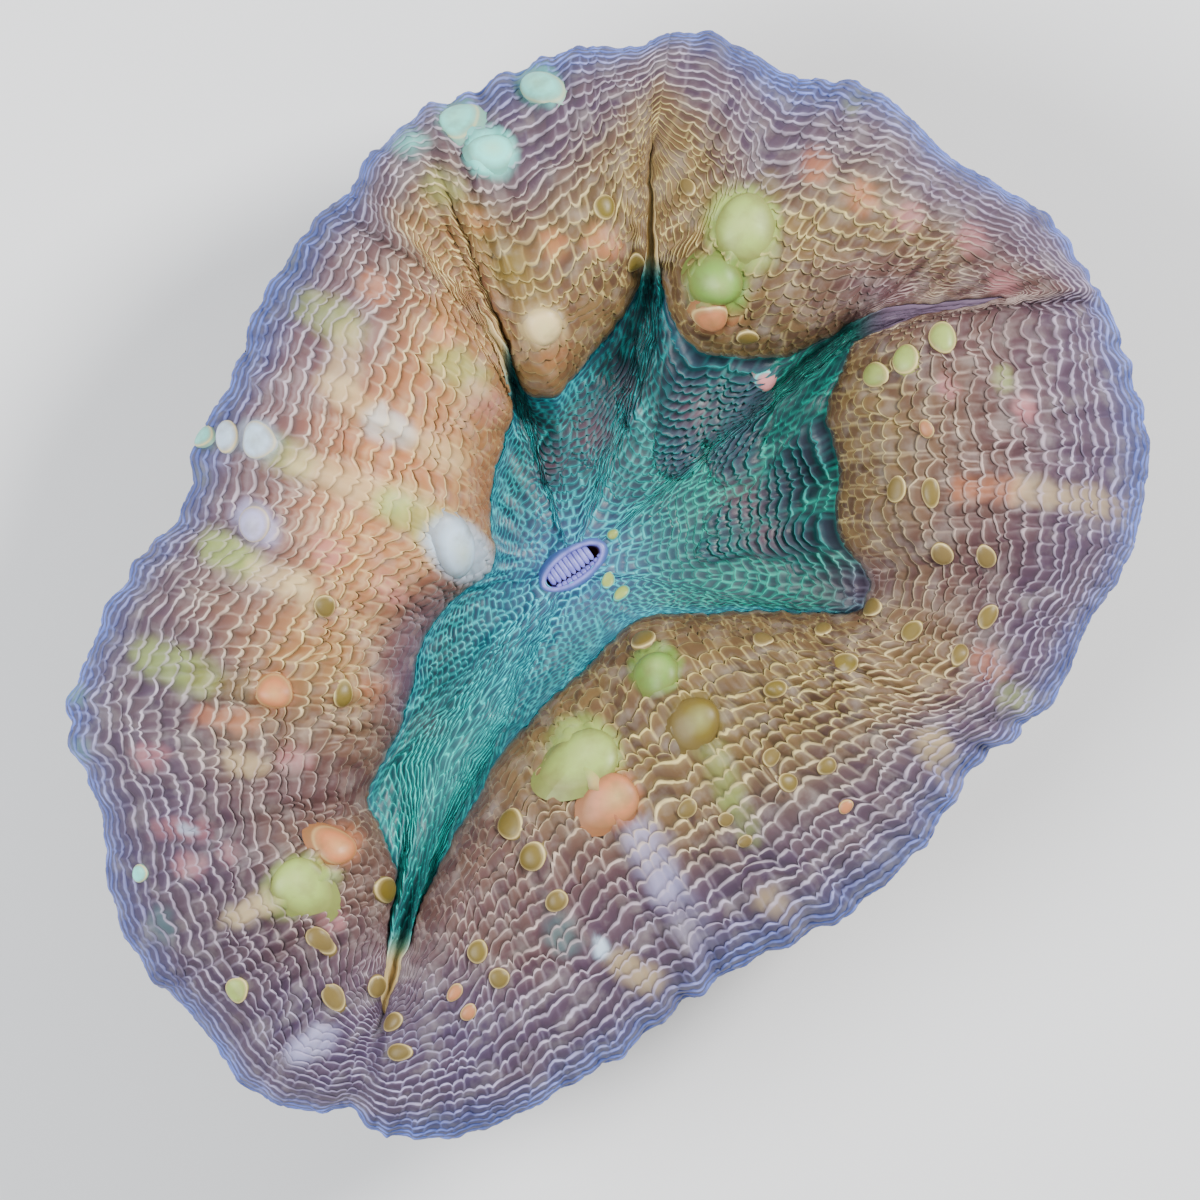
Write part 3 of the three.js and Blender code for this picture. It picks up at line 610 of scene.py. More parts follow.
def woven(skin, travel, rows, spread, mean_width, waves, seed, bulge=lambda x, y: 0 * x):
    """Rows of bead-like cells laid on a skin.

    spread gives the share of a column's length at row boundary r / rows. waves is how far rows wander, in
    rows. bulge(x, y) is how far a row's edge hangs towards the middle, in mm.
    """
    total = travel[-1]
    index = np.append(np.repeat(np.arange(rows), len(WITHIN)), rows - 1)
    within = np.append(np.tile(WITHIN, rows), 1.0)[:, None]
    ring_row = index[:, None] + within
    share = ring_row / rows
    half_row = 0.5 / rows

    def step_at(reach):
        steps = np.arange(len(skin))
        return np.column_stack([np.interp(wanted, run, steps) for wanted, run in zip(reach.T, travel.T)])

    reach = total * spread(share)
    spacing = total * (spread(np.minimum(share + half_row, 1)) - spread(np.maximum(share - half_row, 0)))
    first = gather(skin, step_at(reach))
    x, y = first[..., 0], first[..., 1]
    wander = waves * noise(x, y, seed, 0.2)
    wander += 0.6 * waves * noise(x, y, seed + 1, 0.55)
    ends = smooth(0, 1.5, ring_row) * (1 - smooth(rows - 1.5, rows, ring_row))
    middles = total * spread((np.arange(rows)[:, None] + 0.5) / rows)
    mid_points = gather(skin, step_at(middles))
    cell, across, cell_total = cells_along(mid_points, mean_width, seed + 2)
    patchy = smooth(-0.8, -0.05, noise(mid_points[..., 0], mid_points[..., 1], seed + 3, 0.3))
    bead = 1 - (0.4 + 0.6 * patchy) * (1 - np.sqrt(np.clip(1 - np.abs(across) ** 2.4, 0, 1)))
    scallop = np.zeros((rows + 1, skin.shape[1]))
    scallop[1:rows] = -0.5 * (bead[1:rows] - 0.7)
    edge_shift = scallop[index] * (1 - within) + scallop[index + 1] * within
    hang = bulge(x, y) * ends * np.clip(spacing / 0.8, 0, 1)
    reach = reach + (wander * ends + edge_shift) * spacing - hang
    reach = np.clip(np.maximum.accumulate(reach, axis=0), 0, total)
    step = step_at(reach)
    return SimpleNamespace(
        points=gather(skin, step),
        normals=unit(gather(normals_of(skin), step)),
        where=step / (len(skin) - 1),
        within=within,
        spacing=spacing,
        bead=bead[index],
        across=across[index],
        patchy=patchy[index],
        tint=np.random.default_rng(seed + 4).uniform(0, 1, cell_total)[cell][index],
    )


def profile(weave, values):
    """A value for each ring of a row, the last one at the row's end."""
    return np.interp(weave.within, WITHIN + [1.0], values)


# Mantle: a smooth skin from the disc's edge over the crest to the rim, with rows of cells on it
PER_RAY = 18
RAY_BLUR = 0.22
STEPS = 240
MANTLE_ROWS = 30
PITCH = 1.2
# Closed folds, lip against lip, are filled nearly to this depth in mm
FOLD_DEPTH = 0.65
FILLING = 0.95
table = np.array(RAYS, float)
table[:, :8] = mm(table[:, :8].reshape(-1, 2)).reshape(-1, 8)
place, rays = along_rays(table, PER_RAY, RAY_BLUR)
columns = len(place)
gate, inner, middle, outer = (rays[:, first : first + 2] for first in (0, 2, 4, 6))
open_floor, crest_height, ridge = rays[:, 8:11].T
in_fold = 1 - open_disc(*tenths(inner))
floor_height = lerp(open_floor, np.maximum(open_floor, crest_height - FOLD_DEPTH), FILLING * in_fold)
swing = ridge * np.cos(2 * np.pi * place)


def mantle_height(f):
    left = 1 - np.clip(f / CREST_SHARE, 0, 1)
    rising = lerp(floor_height, crest_height, (1 - left**2.6) ** (1 / 1.9))
    past = np.clip((f - CREST_SHARE) / (1 - CREST_SHARE), 0, 1)
    falling = lerp(RIM_HEIGHT, crest_height, np.sqrt(1 - past**2.3))
    return np.where(f < CREST_SHARE, rising, falling)


def mantle_skin():
    """The ridged and swollen skin, and the way travelled down its columns before they swell."""
    share = np.linspace(0, 1, STEPS + 1)[:, None]
    pull = 2 * middle - (inner + outer) / 2
    weights = ((1 - share) ** 2, 2 * (1 - share) * share, share**2)
    plan = sum(weight[..., None] * corner for weight, corner in zip(weights, (inner, pull, outer)))
    skin = np.dstack([plan, mantle_height(share)])
    travel = travelled(skin)
    swell = smooth(0, 0.12, share) * (0.8 + 0.3 * share)
    lift = RIDGE_SHARE * swing * swell * (0.55 + 0.75 * noise(plan[..., 0], plan[..., 1], 3, 0.13))
    out = outer / np.linalg.norm(outer, axis=1, keepdims=True)
    skin[..., 0:2] += (RIM_PUSH * lift * smooth(0.75, 1, share))[..., None] * out
    x, y = skin[..., 0], skin[..., 1]
    _, _, rise = blob_layers(x, y)
    lumps = 0.35 * noise(x, y, 5, 0.16) + 0.16 * noise(x, y, 6, 0.42)
    settled = smooth(0.02, 0.1, share)
    raised = (rise * 0.6 + lumps) * settled * (1 - smooth(0.9, 1, share) * 0.7)
    skin[..., 2] += lift * (1 - 0.6 * share**6) + raised
    return skin, travel


skin, travel = mantle_skin()
crowding = np.clip(MANTLE_ROWS * PITCH / travel[-1], 1.0, 2.6)
weave = woven(skin, travel, MANTLE_ROWS, lambda r: r**crowding, 1.35, 0.6, 11)
where = weave.where
x, y = weave.points[..., 0], weave.points[..., 1]
px, py = tenths(weave.points)
blob_colour, blob_cover, _ = blob_layers(x, y)
blob_cover *= smooth(0.02, 0.12, where) * (1 - 0.8 * smooth(0.84, 0.96, where))


def press_beads():
    """Flat flesh under the crisp beads, a shadow round each, the glow of the big ones, and their seats."""
    cover = np.zeros(x.shape)
    shade = np.zeros(x.shape)
    seats = []
    for bx, by, long, wide, name, strength in BEADS:
        cx, cy = mm([bx, by])
        nearest_share = 0.12 if min(long, wide) >= 40 else 0.04
        away = np.where(where > nearest_share, np.hypot(x - cx, y - cy), 99)
        seat = np.unravel_index(np.argmin(away), x.shape)
        along = weave.points[seat[0], (seat[1] + 3) % columns] - weave.points[seat[0], seat[1] - 3]
        along /= np.linalg.norm(along)
        seats.append((weave.points[seat], weave.normals[seat], along))
        near = np.hypot(x - x[seat], y - y[seat]) < 0.09 * max(long, wide)
        away_x, away_y = x[near] - x[seat], y[near] - y[seat]
        turn = math.atan2(along[1], along[0])
        u = away_x * math.cos(turn) + away_y * math.sin(turn)
        v = -away_x * math.sin(turn) + away_y * math.cos(turn)
        q = np.hypot(u / (HALF_TENTH * long), v / (HALF_TENTH * wide))
        cover[near] = np.maximum(cover[near], 1 - smooth(0.9, 1.1, q))
        towards_light = -(0.6 * away_x + 0.8 * away_y) / (np.hypot(away_x, away_y) + 1e-6)
        facing = 0.35 + 0.65 * smooth(-0.2, 0.8, towards_light)
        big = bigness(long, wide)
        ring = (1 - 0.6 * big) * facing * np.exp(-(((q - 1.13) / 0.14) ** 2))
        shade[near] = np.maximum(shade[near], ring)
        halo = 0.85 * big * strength * (1 - smooth(0.95, 1.5, q))
        share_of_halo = halo / (halo + blob_cover[near] + 1e-6)
        blob_colour[near] = lerp(blob_colour[near], linear(PALETTE[name]), share_of_halo[:, None])
        blob_cover[near] = np.maximum(blob_cover[near], halo)
    return cover, shade, seats


relief = profile(weave, [0.6, 0.95, 1.0, 0.95, 0.75, 0.45, 0.0, 0.25]) * (0.35 + 0.65 * weave.bead) - 0.5
fit = np.clip(weave.spacing / PITCH, 0.05, 1.3)
depth = 0.34 * fit * (1 - 0.55 * blob_cover) * (1 - 0.35 * smooth(0.45, 0.8, where))
bead_cover, bead_shade, bead_seats = press_beads()


def mantle_lines():
    """Pale lines along the rows and across them, and painted shade: dark in the grooves between, round the
    beads and under the inner edge of the right-hand lobes.
    """
    radial = np.exp(-(((place % 1) - 0.5) / 0.035) ** 2)[None]
    radial = radial * smooth(-0.1, 0.4, noise(x * 0.09 + 5, y * 0.09, 17)) * 0.25
    fine = profile(weave, [0, 0, 0, 1, 0, 0.6, 0, 0]) * 0.45 * spot(px, py, 350, 480, 150, 260)
    fine = fine * smooth(-0.4, 0.3, noise(x, y, 18, 0.5))
    line = np.maximum.reduce([
        profile(weave, [0.95, 1.0, 0.10, 0.0, 0.0, 0.1, 0.1, 0.75]) * np.ones(columns),
        smooth(0.82, 0.97, np.abs(weave.across)) * 0.5 * weave.patchy,
        radial,
        fine,
    ])
    breaks = 0.62 + 0.38 * noise(x, y, 15, 0.8)
    line = line * breaks * (1 - 0.75 * blob_cover) * (1 - bead_cover)
    # painted shade: each row darkened where it tucks under the next
    painted_groove_shade = profile(weave, [0.2, 0.0, 0.0, 0.0, 0.12, 0.6, 1.0, 0.7]) * np.ones(columns)
    painted_groove_shade = painted_groove_shade * (1 - 0.7 * blob_cover) * (1 - bead_cover)
    # painted shadow along the foot of the right-hand lobes' inner edge, by the disc
    painted_shadow_under_crest = 0.75 * (1 - smooth(0.0, 0.035, where)) * smooth(740, 820, px) * (1 - smooth(575, 600, py))
    return line, np.maximum.reduce([painted_groove_shade, bead_shade, painted_shadow_under_crest])


def mantle_zones():
    """Where the flesh is warm, where violet, where blue as at the rim and where green as the disc."""
    blotch = noise(x, y, 41, 0.12)
    rim = 0.34 * smooth(0.4, 0.85, where + 0.08 * blotch) + 0.55 * smooth(0.84, 1.0, where + 0.03 * blotch)
    rim = np.maximum(rim, 0.42 * smooth(900, 1080, py + 50 * blotch))
    rim = np.maximum(rim, 0.30 * spot(px, py, 700, 930, 150, 60))
    warm = spot(px, py, 350, 450, 150, 200) * (1 - rim)
    warm = np.maximum(warm, 0.5 * spot(px, py, 300, 620, 110, 70))
    violet = np.maximum.reduce([
        0.85 * smooth(820, 980, px + 60 * blotch),
        0.8 * smooth(740, 1000, py + 50 * blotch + 0.25 * (py - px)),
        0.65 * smooth(0.4, 0.85, where + 0.1 * blotch) * (1 - 0.6 * warm),
        0.95 * spot(px, py, 290, 790, 120, 80),
        spot(px, py, 880, 295, 70, 45),
        spot(px, py, 868, 580, 38, 30),
        0.7 * spot(px, py, 420, 690, 60, 120) * (1 - smooth(0.1, 0.3, where)),
    ])
    rim = np.maximum(rim, 0.5 * spot(px, py, 440, 680, 60, 120) * (1 - smooth(0.05, 0.2, where)))
    sea = (1 - smooth(0.0, 0.012, where)) * 0.7 * open_disc(px, py)
    return np.dstack([warm, violet, rim, sea])


height = relief * depth * (1 - bead_cover)
points = unsettled(weave.points + weave.normals * height[..., None])
mantle_layers = {
    "zones": mantle_zones(),
    "marks": np.dstack([*mantle_lines(), weave.tint, spots(px, py, DUSKY)]),
    "paint": np.dstack([blob_colour, blob_cover]),
}

# Disc: from the slit out to the gate, where the wall of flesh begins, and on to the mantle
DISC_ROWS = 24
DISC_STEPS = 120
DISC_EVERY = 2
HIGHEST_GATE = 26.0
disc_gate = gate[::DISC_EVERY]
disc_columns = len(disc_gate)


def disc_surface():
    """The smooth disc without its pleats, its folds filled and its inner part softened."""
    direction = disc_gate - mm(MOUTH)
    angle = np.arctan2(direction[:, 1], direction[:, 0])
    lip = mm(MOUTH) + oval(MOUTH_HALF_LENGTH, MOUTH_HALF_WIDTH, MOUTH_TURN, angle)
    share = np.linspace(0, 1, DISC_STEPS + 1)[:, None]
    gate_height = lerp(MOUTH_HEIGHT, np.minimum(open_floor[::DISC_EVERY], HIGHEST_GATE), 0.35)
    near_plan = lerp(lip, disc_gate, share[..., None])
    near_height = lerp(MOUTH_HEIGHT, gate_height, share**2) + 0.9 * (1 - smooth(0, 0.5, share))
    far_plan = lerp(disc_gate, skin[0, ::DISC_EVERY, 0:2], share[..., None])
    far_height = lerp(gate_height, floor_height[::DISC_EVERY], share**1.3)
    far_height = far_height + 0.2 * swing[::DISC_EVERY] * np.sin(np.pi * share)
    surface = np.concatenate([np.dstack([near_plan, near_height]), np.dstack([far_plan, far_height])[1:]])
    level = surface[..., 2]
    filled = np.maximum(level, crest_height[::DISC_EVERY] - FOLD_DEPTH)
    level = lerp(level, filled, FILLING * (1 - open_disc(*tenths(surface))))
    keep = smooth(0.5, 0.95, np.linspace(0, 1, len(surface)))[:, None]
    surface[..., 2] = lerp(blurred(level, 24, 9.0, 1), level, keep)
    return surface


disc_skin = disc_surface()
disc_travel = travelled(disc_skin)
disc_power = np.clip(0.9 * DISC_ROWS / disc_travel[-1], 1.0, 4.0)
disc_skin[..., 2] += 0.75 * pleats(disc_skin[..., 0], disc_skin[..., 1])
disc_skin[..., 2] += 0.22 * noise(disc_skin[..., 0], disc_skin[..., 1], 51, 0.35)
disc_weave = woven(
    disc_skin,
    disc_travel,
    DISC_ROWS,
    spread=lambda r: 1 - (1 - r) ** disc_power,
    mean_width=0.95,
    waves=0.3,
    seed=61,
    bulge=lambda x, y: 1.1 * pleats(x, y),
)
dx, dy = disc_weave.points[..., 0], disc_weave.points[..., 1]
dpx, dpy = tenths(disc_weave.points)
in_pleat = pleats(dx, dy)


def disc_relief():
    """The woven points raised along their normals, tucked in under the mantle."""
    relief = profile(disc_weave, [0.5, 0.95, 1.0, 0.85, 0.6, 0.35, 0.0, 0.3])
    relief = relief * (0.45 + 0.55 * disc_weave.bead) - 0.5
    depth = (0.16 + 0.5 * in_pleat) * np.clip(disc_weave.spacing / 0.8, 0.05, 1.3)
    height = relief * depth * smooth(0.0, 0.03, 1 - disc_weave.where)
    points = unsettled(disc_weave.points + disc_weave.normals * height[..., None])
    points[..., 2] -= 0.25 * smooth(0.97, 1.0, disc_weave.where)
    return points


def disc_masks():
    """Layers of the disc: pleats and painted glows, lines and painted shade in the grooves, closed folds and
    painted light on the left arm.
    """
    closed_fold = 1 - open_disc(dpx, dpy)
    fold = np.maximum(closed_fold, 0.9 * spot(dpx, dpy, 864, 589, 34, 32))
    fold_violet = smooth(760, 860, dpx)
    line = profile(disc_weave, [0.95, 1.0, 0.15, 0.0, 0.0, 0.2, 0.2, 0.8]) * np.ones(disc_columns)
    walls = smooth(0.6, 0.95, np.abs(disc_weave.across)) * (1 - 0.8 * in_pleat)
    line = np.maximum(line, walls * 0.7) * (0.7 + 0.3 * noise(dx, dy, 66, 0.8))
    line = lerp(line, 0.92 - 0.7 * fold_violet, 0.85 * closed_fold)
    # painted shadow below each row's edge, strongest in the pleats
    painted_groove_shade = profile(disc_weave, [0.3, 0.0, 0.0, 0.1, 0.5, 0.9, 1.0, 0.8]) * (0.3 + 0.7 * in_pleat)
    painted_groove_shade = painted_groove_shade * (1 - 0.6 * fold) * (1 - 0.9 * closed_fold)
    reached = gather(disc_travel[..., None], disc_weave.where * (len(disc_skin) - 1))[..., 0]
    # painted light along the foot of the mantle's wall and on the disc's left, where the walls shade it;
    # partly the disc's own brighter cyan
    glow = np.exp(-(((disc_travel[-1] - reached) / 2.2) ** 2))
    glow = glow * (1 - smooth(620, 760, dpx) * (1 - smooth(560, 600, dpy)))
    glow = np.maximum(glow, 0.8 * spot(dpx, dpy, 520, 640, 70, 130))
    # painted light on the left arm, deep between the walls, over its own brighter cyan
    arm_cyan_and_painted_light = spot(dpx + 0.35 * (dpy - 800), dpy, 425, 820, 75, 110)
    green_side = smooth(560, 720, dpx + 0.5 * (dpy - 500))
    return {
        "zones": np.dstack([in_pleat, glow, spot(dpx, dpy, *MOUTH, 75, 60), spots(dpx, dpy, DISC_SPOTS)]),
        "marks": np.dstack([line, painted_groove_shade, disc_weave.tint, green_side]),
        "folds": np.dstack([fold, fold_violet, arm_cyan_and_painted_light, fold * 0 + 1]),
    }


disc_points = disc_relief()

# Underside and foot
UNDER_RINGS = 44
UNDER_EVERY = 3
# [share of the way from rim to foot, height]
UNDER_PROFILE = [
    [0, RIM_HEIGHT],
    [0.03, 21.6],
    [0.12, 19.4],
    [0.36, 17.0],
    [0.62, 12.0],
    [0.84, 5.5],
    [1.0, 0.0],
]
CAP_SHARES = (0.3, 0.7, 1.0)


def underside():
    """Rings from the rim in to the foot and over its flat face, with masks for stone and ribs."""
    edge = points[-1][::UNDER_EVERY]
    foot = oval(FOOT_HALF_LENGTH, FOOT_HALF_WIDTH, FOOT_TURN, np.arctan2(edge[:, 1], edge[:, 0]))
    inward = (np.linspace(0, 1, UNDER_RINGS + 1) ** 1.5)[:, None]
    height = np.interp(inward, *np.transpose(UNDER_PROFILE))
    ribs = np.cos(4 * np.pi * place[::UNDER_EVERY])[None, :]
    stone = smooth(0.2, 0.5, inward)
    under = np.dstack([lerp(edge[:, 0:2], foot, inward[..., None]), height * np.ones(len(edge))])
    under[..., 2] += (edge[:, 2] - RIM_HEIGHT) * (1 - smooth(0, 0.2, inward))
    out = edge[:, 0:2] / np.linalg.norm(edge[:, 0:2], axis=1, keepdims=True)
    x, y, z = np.moveaxis(under, 2, 0)
    bump = 0.5 * ribs * stone + 0.3 * noise(x * 0.5, y * 0.5 + z * 0.3, 81)
    bump = (bump - 0.6) * smooth(0, 0.06, inward) * (1 - smooth(0.93, 1, inward))
    under[..., 0:2] += bump[..., None] * out
    under[-1, :, 2] = 0
    cap = np.array([np.column_stack([lerp(foot, 0 * foot, share), 0 * foot[:, 0]]) for share in CAP_SHARES])
    under = np.concatenate([under, cap])
    whole = np.ones(under.shape[:2])
    stone = np.vstack([stone, np.ones((len(CAP_SHARES), 1))])
    return under, {"marks": np.dstack([stone * whole, (0.5 + 0.5 * ribs) * whole, whole, whole])}


# Materials
class Paint:
    """A material built step by step: colours mixed one over another by masks."""

    def __init__(self, name):
        self.material = bpy.data.materials.new(name)
        self.material.use_nodes = True
        self.nodes = self.material.node_tree.nodes
        self.links = self.material.node_tree.links
        self.shader = self.nodes["Principled BSDF"]

    def masks(self, name):
        """The four channels of a named attribute, and its colour."""
        attribute = self.nodes.new("ShaderNodeAttribute")
        attribute.attribute_name = name
        colour = attribute.outputs["Color"]
        split = self.nodes.new("ShaderNodeSeparateColor")
        self.links.new(colour, split.inputs[0])
        return [*split.outputs, attribute.outputs["Alpha"]], colour

    def over(self, below, above, factor, strength=1.0):
        """above laid over below where factor says."""
        if strength != 1.0:
            scaled = self.nodes.new("ShaderNodeMath")
            scaled.operation = "MULTIPLY"
            self.links.new(factor, scaled.inputs[0])
            scaled.inputs[1].default_value = strength
            factor = scaled.outputs[0]
        mix = self.nodes.new("ShaderNodeMix")
        mix.data_type = "RGBA"
        self.links.new(factor, mix.inputs["Factor"])
        for socket, value in (("A", below), ("B", above)):
            target = next(s for s in mix.inputs if s.name == socket and s.type == "RGBA")
            if isinstance(value, tuple):
                target.default_value = (*linear(value), 1.0)
            else:
                self.links.new(value, target)
        return next(s for s in mix.outputs if s.type == "RGBA")

    def coats(self, colour, *coats):
        """Coats of (colour, mask) or (colour, mask, strength), each laid over the last."""
        for coat in coats:
            colour = self.over(colour, *coat)
        return colour

    def ramp(self, factor, *stops):
        node = self.nodes.new("ShaderNodeValToRGB")
        while len(node.color_ramp.elements) < len(stops):
            node.color_ramp.elements.new(0.5)
        for element, (at, colour) in zip(node.color_ramp.elements, stops):
            element.position = at
            element.color = (*linear(colour), 1.0)
        self.links.new(factor, node.inputs[0])
        return node.outputs[0]

    def grain(self, scale, detail=3.0):
        where = self.nodes.new("ShaderNodeTexCoord")
        node = self.nodes.new("ShaderNodeTexNoise")
        node.inputs["Scale"].default_value = scale
        node.inputs["Detail"].default_value = detail
        self.links.new(where.outputs["Object"], node.inputs["Vector"])
        return node.outputs[0]

    def spread(self, factor, low, high, to_low, to_high):
        node = self.nodes.new("ShaderNodeMapRange")
        for socket, value in zip(("From Min", "From Max", "To Min", "To Max"), (low, high, to_low, to_high)):
            node.inputs[socket].default_value = value
        self.links.new(factor, node.inputs["Value"])
        return node.outputs[0]

    def bump(self, factor, strength, distance):
        node = self.nodes.new("ShaderNodeBump")
        node.inputs["Strength"].default_value = strength
        node.inputs["Distance"].default_value = distance
        self.links.new(factor, node.inputs["Height"])
        self.links.new(node.outputs[0], self.shader.inputs["Normal"])

    def flesh(self, specular, glow, glow_radius):
        """Wet flesh that light enters a little way, red, green and blue each its own way in metres."""
        self.shader.inputs["Specular IOR Level"].default_value = specular
        self.shader.inputs["Subsurface Weight"].default_value = glow
        self.shader.inputs["Subsurface Radius"].default_value = glow_radius
        self.shader.inputs["Subsurface Scale"].default_value = 1.0

    def done(self, colour, grain, smoothest, roughest):
        roughness = self.spread(grain, 0.3, 0.7, smoothest, roughest)
        self.links.new(colour, self.shader.inputs["Base Color"])
        self.links.new(roughness, self.shader.inputs["Roughness"])
        return self.material


def mantle_material():
    paint = Paint("mantle_flesh")
    (warm, violet, rim, sea), _ = paint.masks("zones")
    (line, painted_groove_shade, tint, dusk), _ = paint.masks("marks")
    (_, _, _, cover), painted = paint.masks("paint")
    grain = paint.grain(420)
    cloud = paint.grain(60, 2.0)
    bright = paint.coats(
        (250, 228, 148),
        ((255, 222, 170), warm, 0.7),
        ((190, 160, 186), violet, 0.8),
        ((88, 130, 240), rim),
        ((84, 212, 214), sea),
    )
    colour = paint.coats(
        paint.ramp(tint, (0.0, (78, 58, 44)), (0.5, (98, 75, 53)), (1.0, (114, 91, 58))),
        ((122, 100, 56), paint.spread(cloud, 0.45, 0.7, 0, 0.6)),
        ((196, 126, 82), warm, 0.8),
        ((82, 54, 64), violet, 0.8),
        ((54, 62, 108), rim),
        ((50, 90, 98), sea, 0.8),
        (painted, cover),
        # painted shade: grooves, bead shadows and the shadow under the right-hand lobes
        ((28, 16, 16), painted_groove_shade, 0.7),
        (bright, line, 0.95),
        ((40, 26, 38), dusk, 0.3),
        ((255, 250, 240), paint.spread(grain, 0.5, 0.8, 0, 0.12)),
    )
    paint.bump(grain, 0.25, 0.00015)
    paint.flesh(0.2, 0.06, (0.0012, 0.0006, 0.0005))
    return paint.done(colour, grain, 0.44, 0.6)


def disc_material():
    paint = Paint("disc_flesh")
    (pleat, glow, mouth, red_spot), _ = paint.masks("zones")
    (line, painted_groove_shade, tint, green), _ = paint.masks("marks")
    (fold, fold_violet, arm_cyan_and_painted_light, _), _ = paint.masks("folds")
    grain = paint.grain(500)
    bright = paint.coats(
        (24, 216, 214),
        ((16, 208, 178), green),
        # painted glow on the lines at the foot of the walls
        ((14, 238, 248), glow),
        ((70, 212, 240), mouth),
        ((60, 170, 180), pleat, 0.6),
        # painted light on the left arm's lines
        ((24, 250, 232), arm_cyan_and_painted_light),
        (paint.over((222, 198, 140), (176, 156, 184), fold_violet), fold),
    )
    colour = paint.coats(
        paint.ramp(tint, (0.0, (34, 48, 60)), (0.6, (42, 62, 72)), (1.0, (48, 78, 80))),
        ((38, 76, 78), green, 0.6),
        ((54, 60, 78), pleat, 0.85),
        # painted glow on the fill at the foot of the walls
        ((30, 92, 116), glow, 0.6),
        ((66, 92, 140), mouth, 0.6),
        ((112, 66, 78), red_spot, 0.5),
        # painted light on the left arm's fill
        ((44, 112, 118), arm_cyan_and_painted_light, 0.7),
        (paint.over((104, 82, 62), (72, 54, 72), fold_violet), fold),
        # painted shadow: near black in the grooves and under the pleats' arcs
        ((4, 8, 14), painted_groove_shade, 0.92),
        (bright, line, 0.9),
    )
    paint.bump(grain, 0.2, 0.00012)
    paint.flesh(0.3, 0.05, (0.0005, 0.0008, 0.001))
    return paint.done(colour, grain, 0.34, 0.5)


def bead_material():
    paint = Paint("bead_flesh")
    (line, big, sea, _), _ = paint.masks("marks")
    (_, _, _, middle), painted = paint.masks("paint")
    grain = paint.grain(500, 4.0)
    # painted highlight: big beads paler towards the middle
    painted_highlight_middle = paint.over((0, 0, 0), paint.spread(middle, 0.35, 1.0, 0.0, 0.35), big)
    colour = paint.coats(
        painted,
        # painted shade: every bead darker towards its edge, brown on the mantle, slate on the disc
        (paint.over((92, 72, 44), (40, 74, 84), sea), paint.spread(middle, 0.0, 0.35, 0.5, 0.0)),
        ((196, 210, 140), painted_highlight_middle),
        ((106, 90, 54), paint.spread(grain, 0.45, 0.75, 0.0, 0.45)),
        (paint.over((226, 204, 140), (40, 220, 216), sea), line, 0.85),
    )
    paint.bump(grain, 0.2, 0.00012)
    paint.flesh(0.35, 0.1, (0.0012, 0.0008, 0.0005))
    return paint.done(colour, grain, 0.38, 0.5)


def under_material():
    paint = Paint("underside")
    (stone, ribs, _, _), _ = paint.masks("marks")
    grain = paint.grain(300, 6.0)
    flesh = paint.ramp(grain, (0.3, (92, 84, 96)), (0.7, (120, 108, 112)))
    pale = paint.ramp(grain, (0.3, (176, 168, 150)), (0.7, (214, 208, 192)))
    colour = paint.over(flesh, paint.over((128, 118, 104), pale, ribs), stone)
    paint.bump(grain, 0.6, 0.0005)
    return paint.done(colour, grain, 0.6, 0.85)


def mouth_material():
    paint = Paint("mouth_folds")
    (side, gap, outside, _), _ = paint.masks("marks")
    grain = paint.grain(900, 4.0)
    colour = paint.coats(
        paint.ramp(grain, (0.35, (122, 122, 204)), (0.65, (150, 150, 232))),
        ((58, 90, 150), outside, 0.9),
        # slate on the lip's slopes and walls, and painted shade on the sides and bases of the folds
        ((76, 76, 150), side, 0.7),
        ((84, 44, 38), gap),
    )
    paint.bump(grain, 0.2, 0.0001)
    return paint.done(colour, grain, 0.3, 0.45)


def floor_material():
    paint = Paint("floor")
    grain = paint.grain(8, 2.0)
    return paint.done(paint.ramp(grain, (0.3, (226, 228, 230)), (0.7, (232, 233, 234))), grain, 0.7, 0.8)


# Pieces
METRES = 0.001
MARGIN = 2e-5
box_low, box_high = (np.array(corner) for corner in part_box("brain_coral"))


def faces_of(rows, columns, first):
    """The corners of every face of a grid of points numbered from first."""
    index = first + np.arange(rows * columns).reshape(rows, columns)
    corners = [index[:-1, :-1], index[:-1, 1:], index[1:, 1:], index[1:, :-1]]
    return np.stack(corners, axis=-1).reshape(-1, 4)


def patch_piece(name, patches, material):
    """One mesh from patches of points in mm, each with its masks, kept inside the CAD solid's box."""
    places = []
    faces = []
    masks = {}
    first = 0
    for points, layers in patches:
        rows, columns = points.shape[:2]
        places.append(np.clip(points.reshape(-1, 3) * METRES, box_low + MARGIN, box_high - MARGIN))
        faces.append(faces_of(rows, columns, first))
        for key, value in layers.items():
            masks.setdefault(key, []).append(value.reshape(-1, 4))
        first += rows * columns
    place = np.concatenate(places)
    quads = np.concatenate(faces)
    mesh = bpy.data.meshes.new(name)
    mesh.vertices.add(len(place))
    mesh.vertices.foreach_set("co", place.ravel())
    mesh.loops.add(quads.size)
    mesh.loops.foreach_set("vertex_index", quads.ravel().astype(np.int32))
    mesh.polygons.add(len(quads))
    mesh.polygons.foreach_set("loop_start", np.arange(0, quads.size, 4, dtype=np.int32))
    mesh.polygons.foreach_set("use_smooth", np.ones(len(quads), bool))
    mesh.update(calc_edges=True)
    for key, values in masks.items():
        layer = mesh.attributes.new(key, "FLOAT_COLOR", "POINT")
        layer.data.foreach_set("color", np.concatenate(values).astype(np.float32).ravel())
    mesh.materials.append(material)
    piece = bpy.data.objects.new(name, mesh)
    bpy.context.scene.collection.objects.link(piece)
    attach(piece, "root")
    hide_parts("brain_coral")


def columns_of(points, layers, first, last):
    """A patch of columns first to last, running on past the end of a grid to its start."""
    wanted = np.arange(first, last + 1) % points.shape[1]
    return points[:, wanted], {key: value[:, wanted] for key, value in layers.items()}


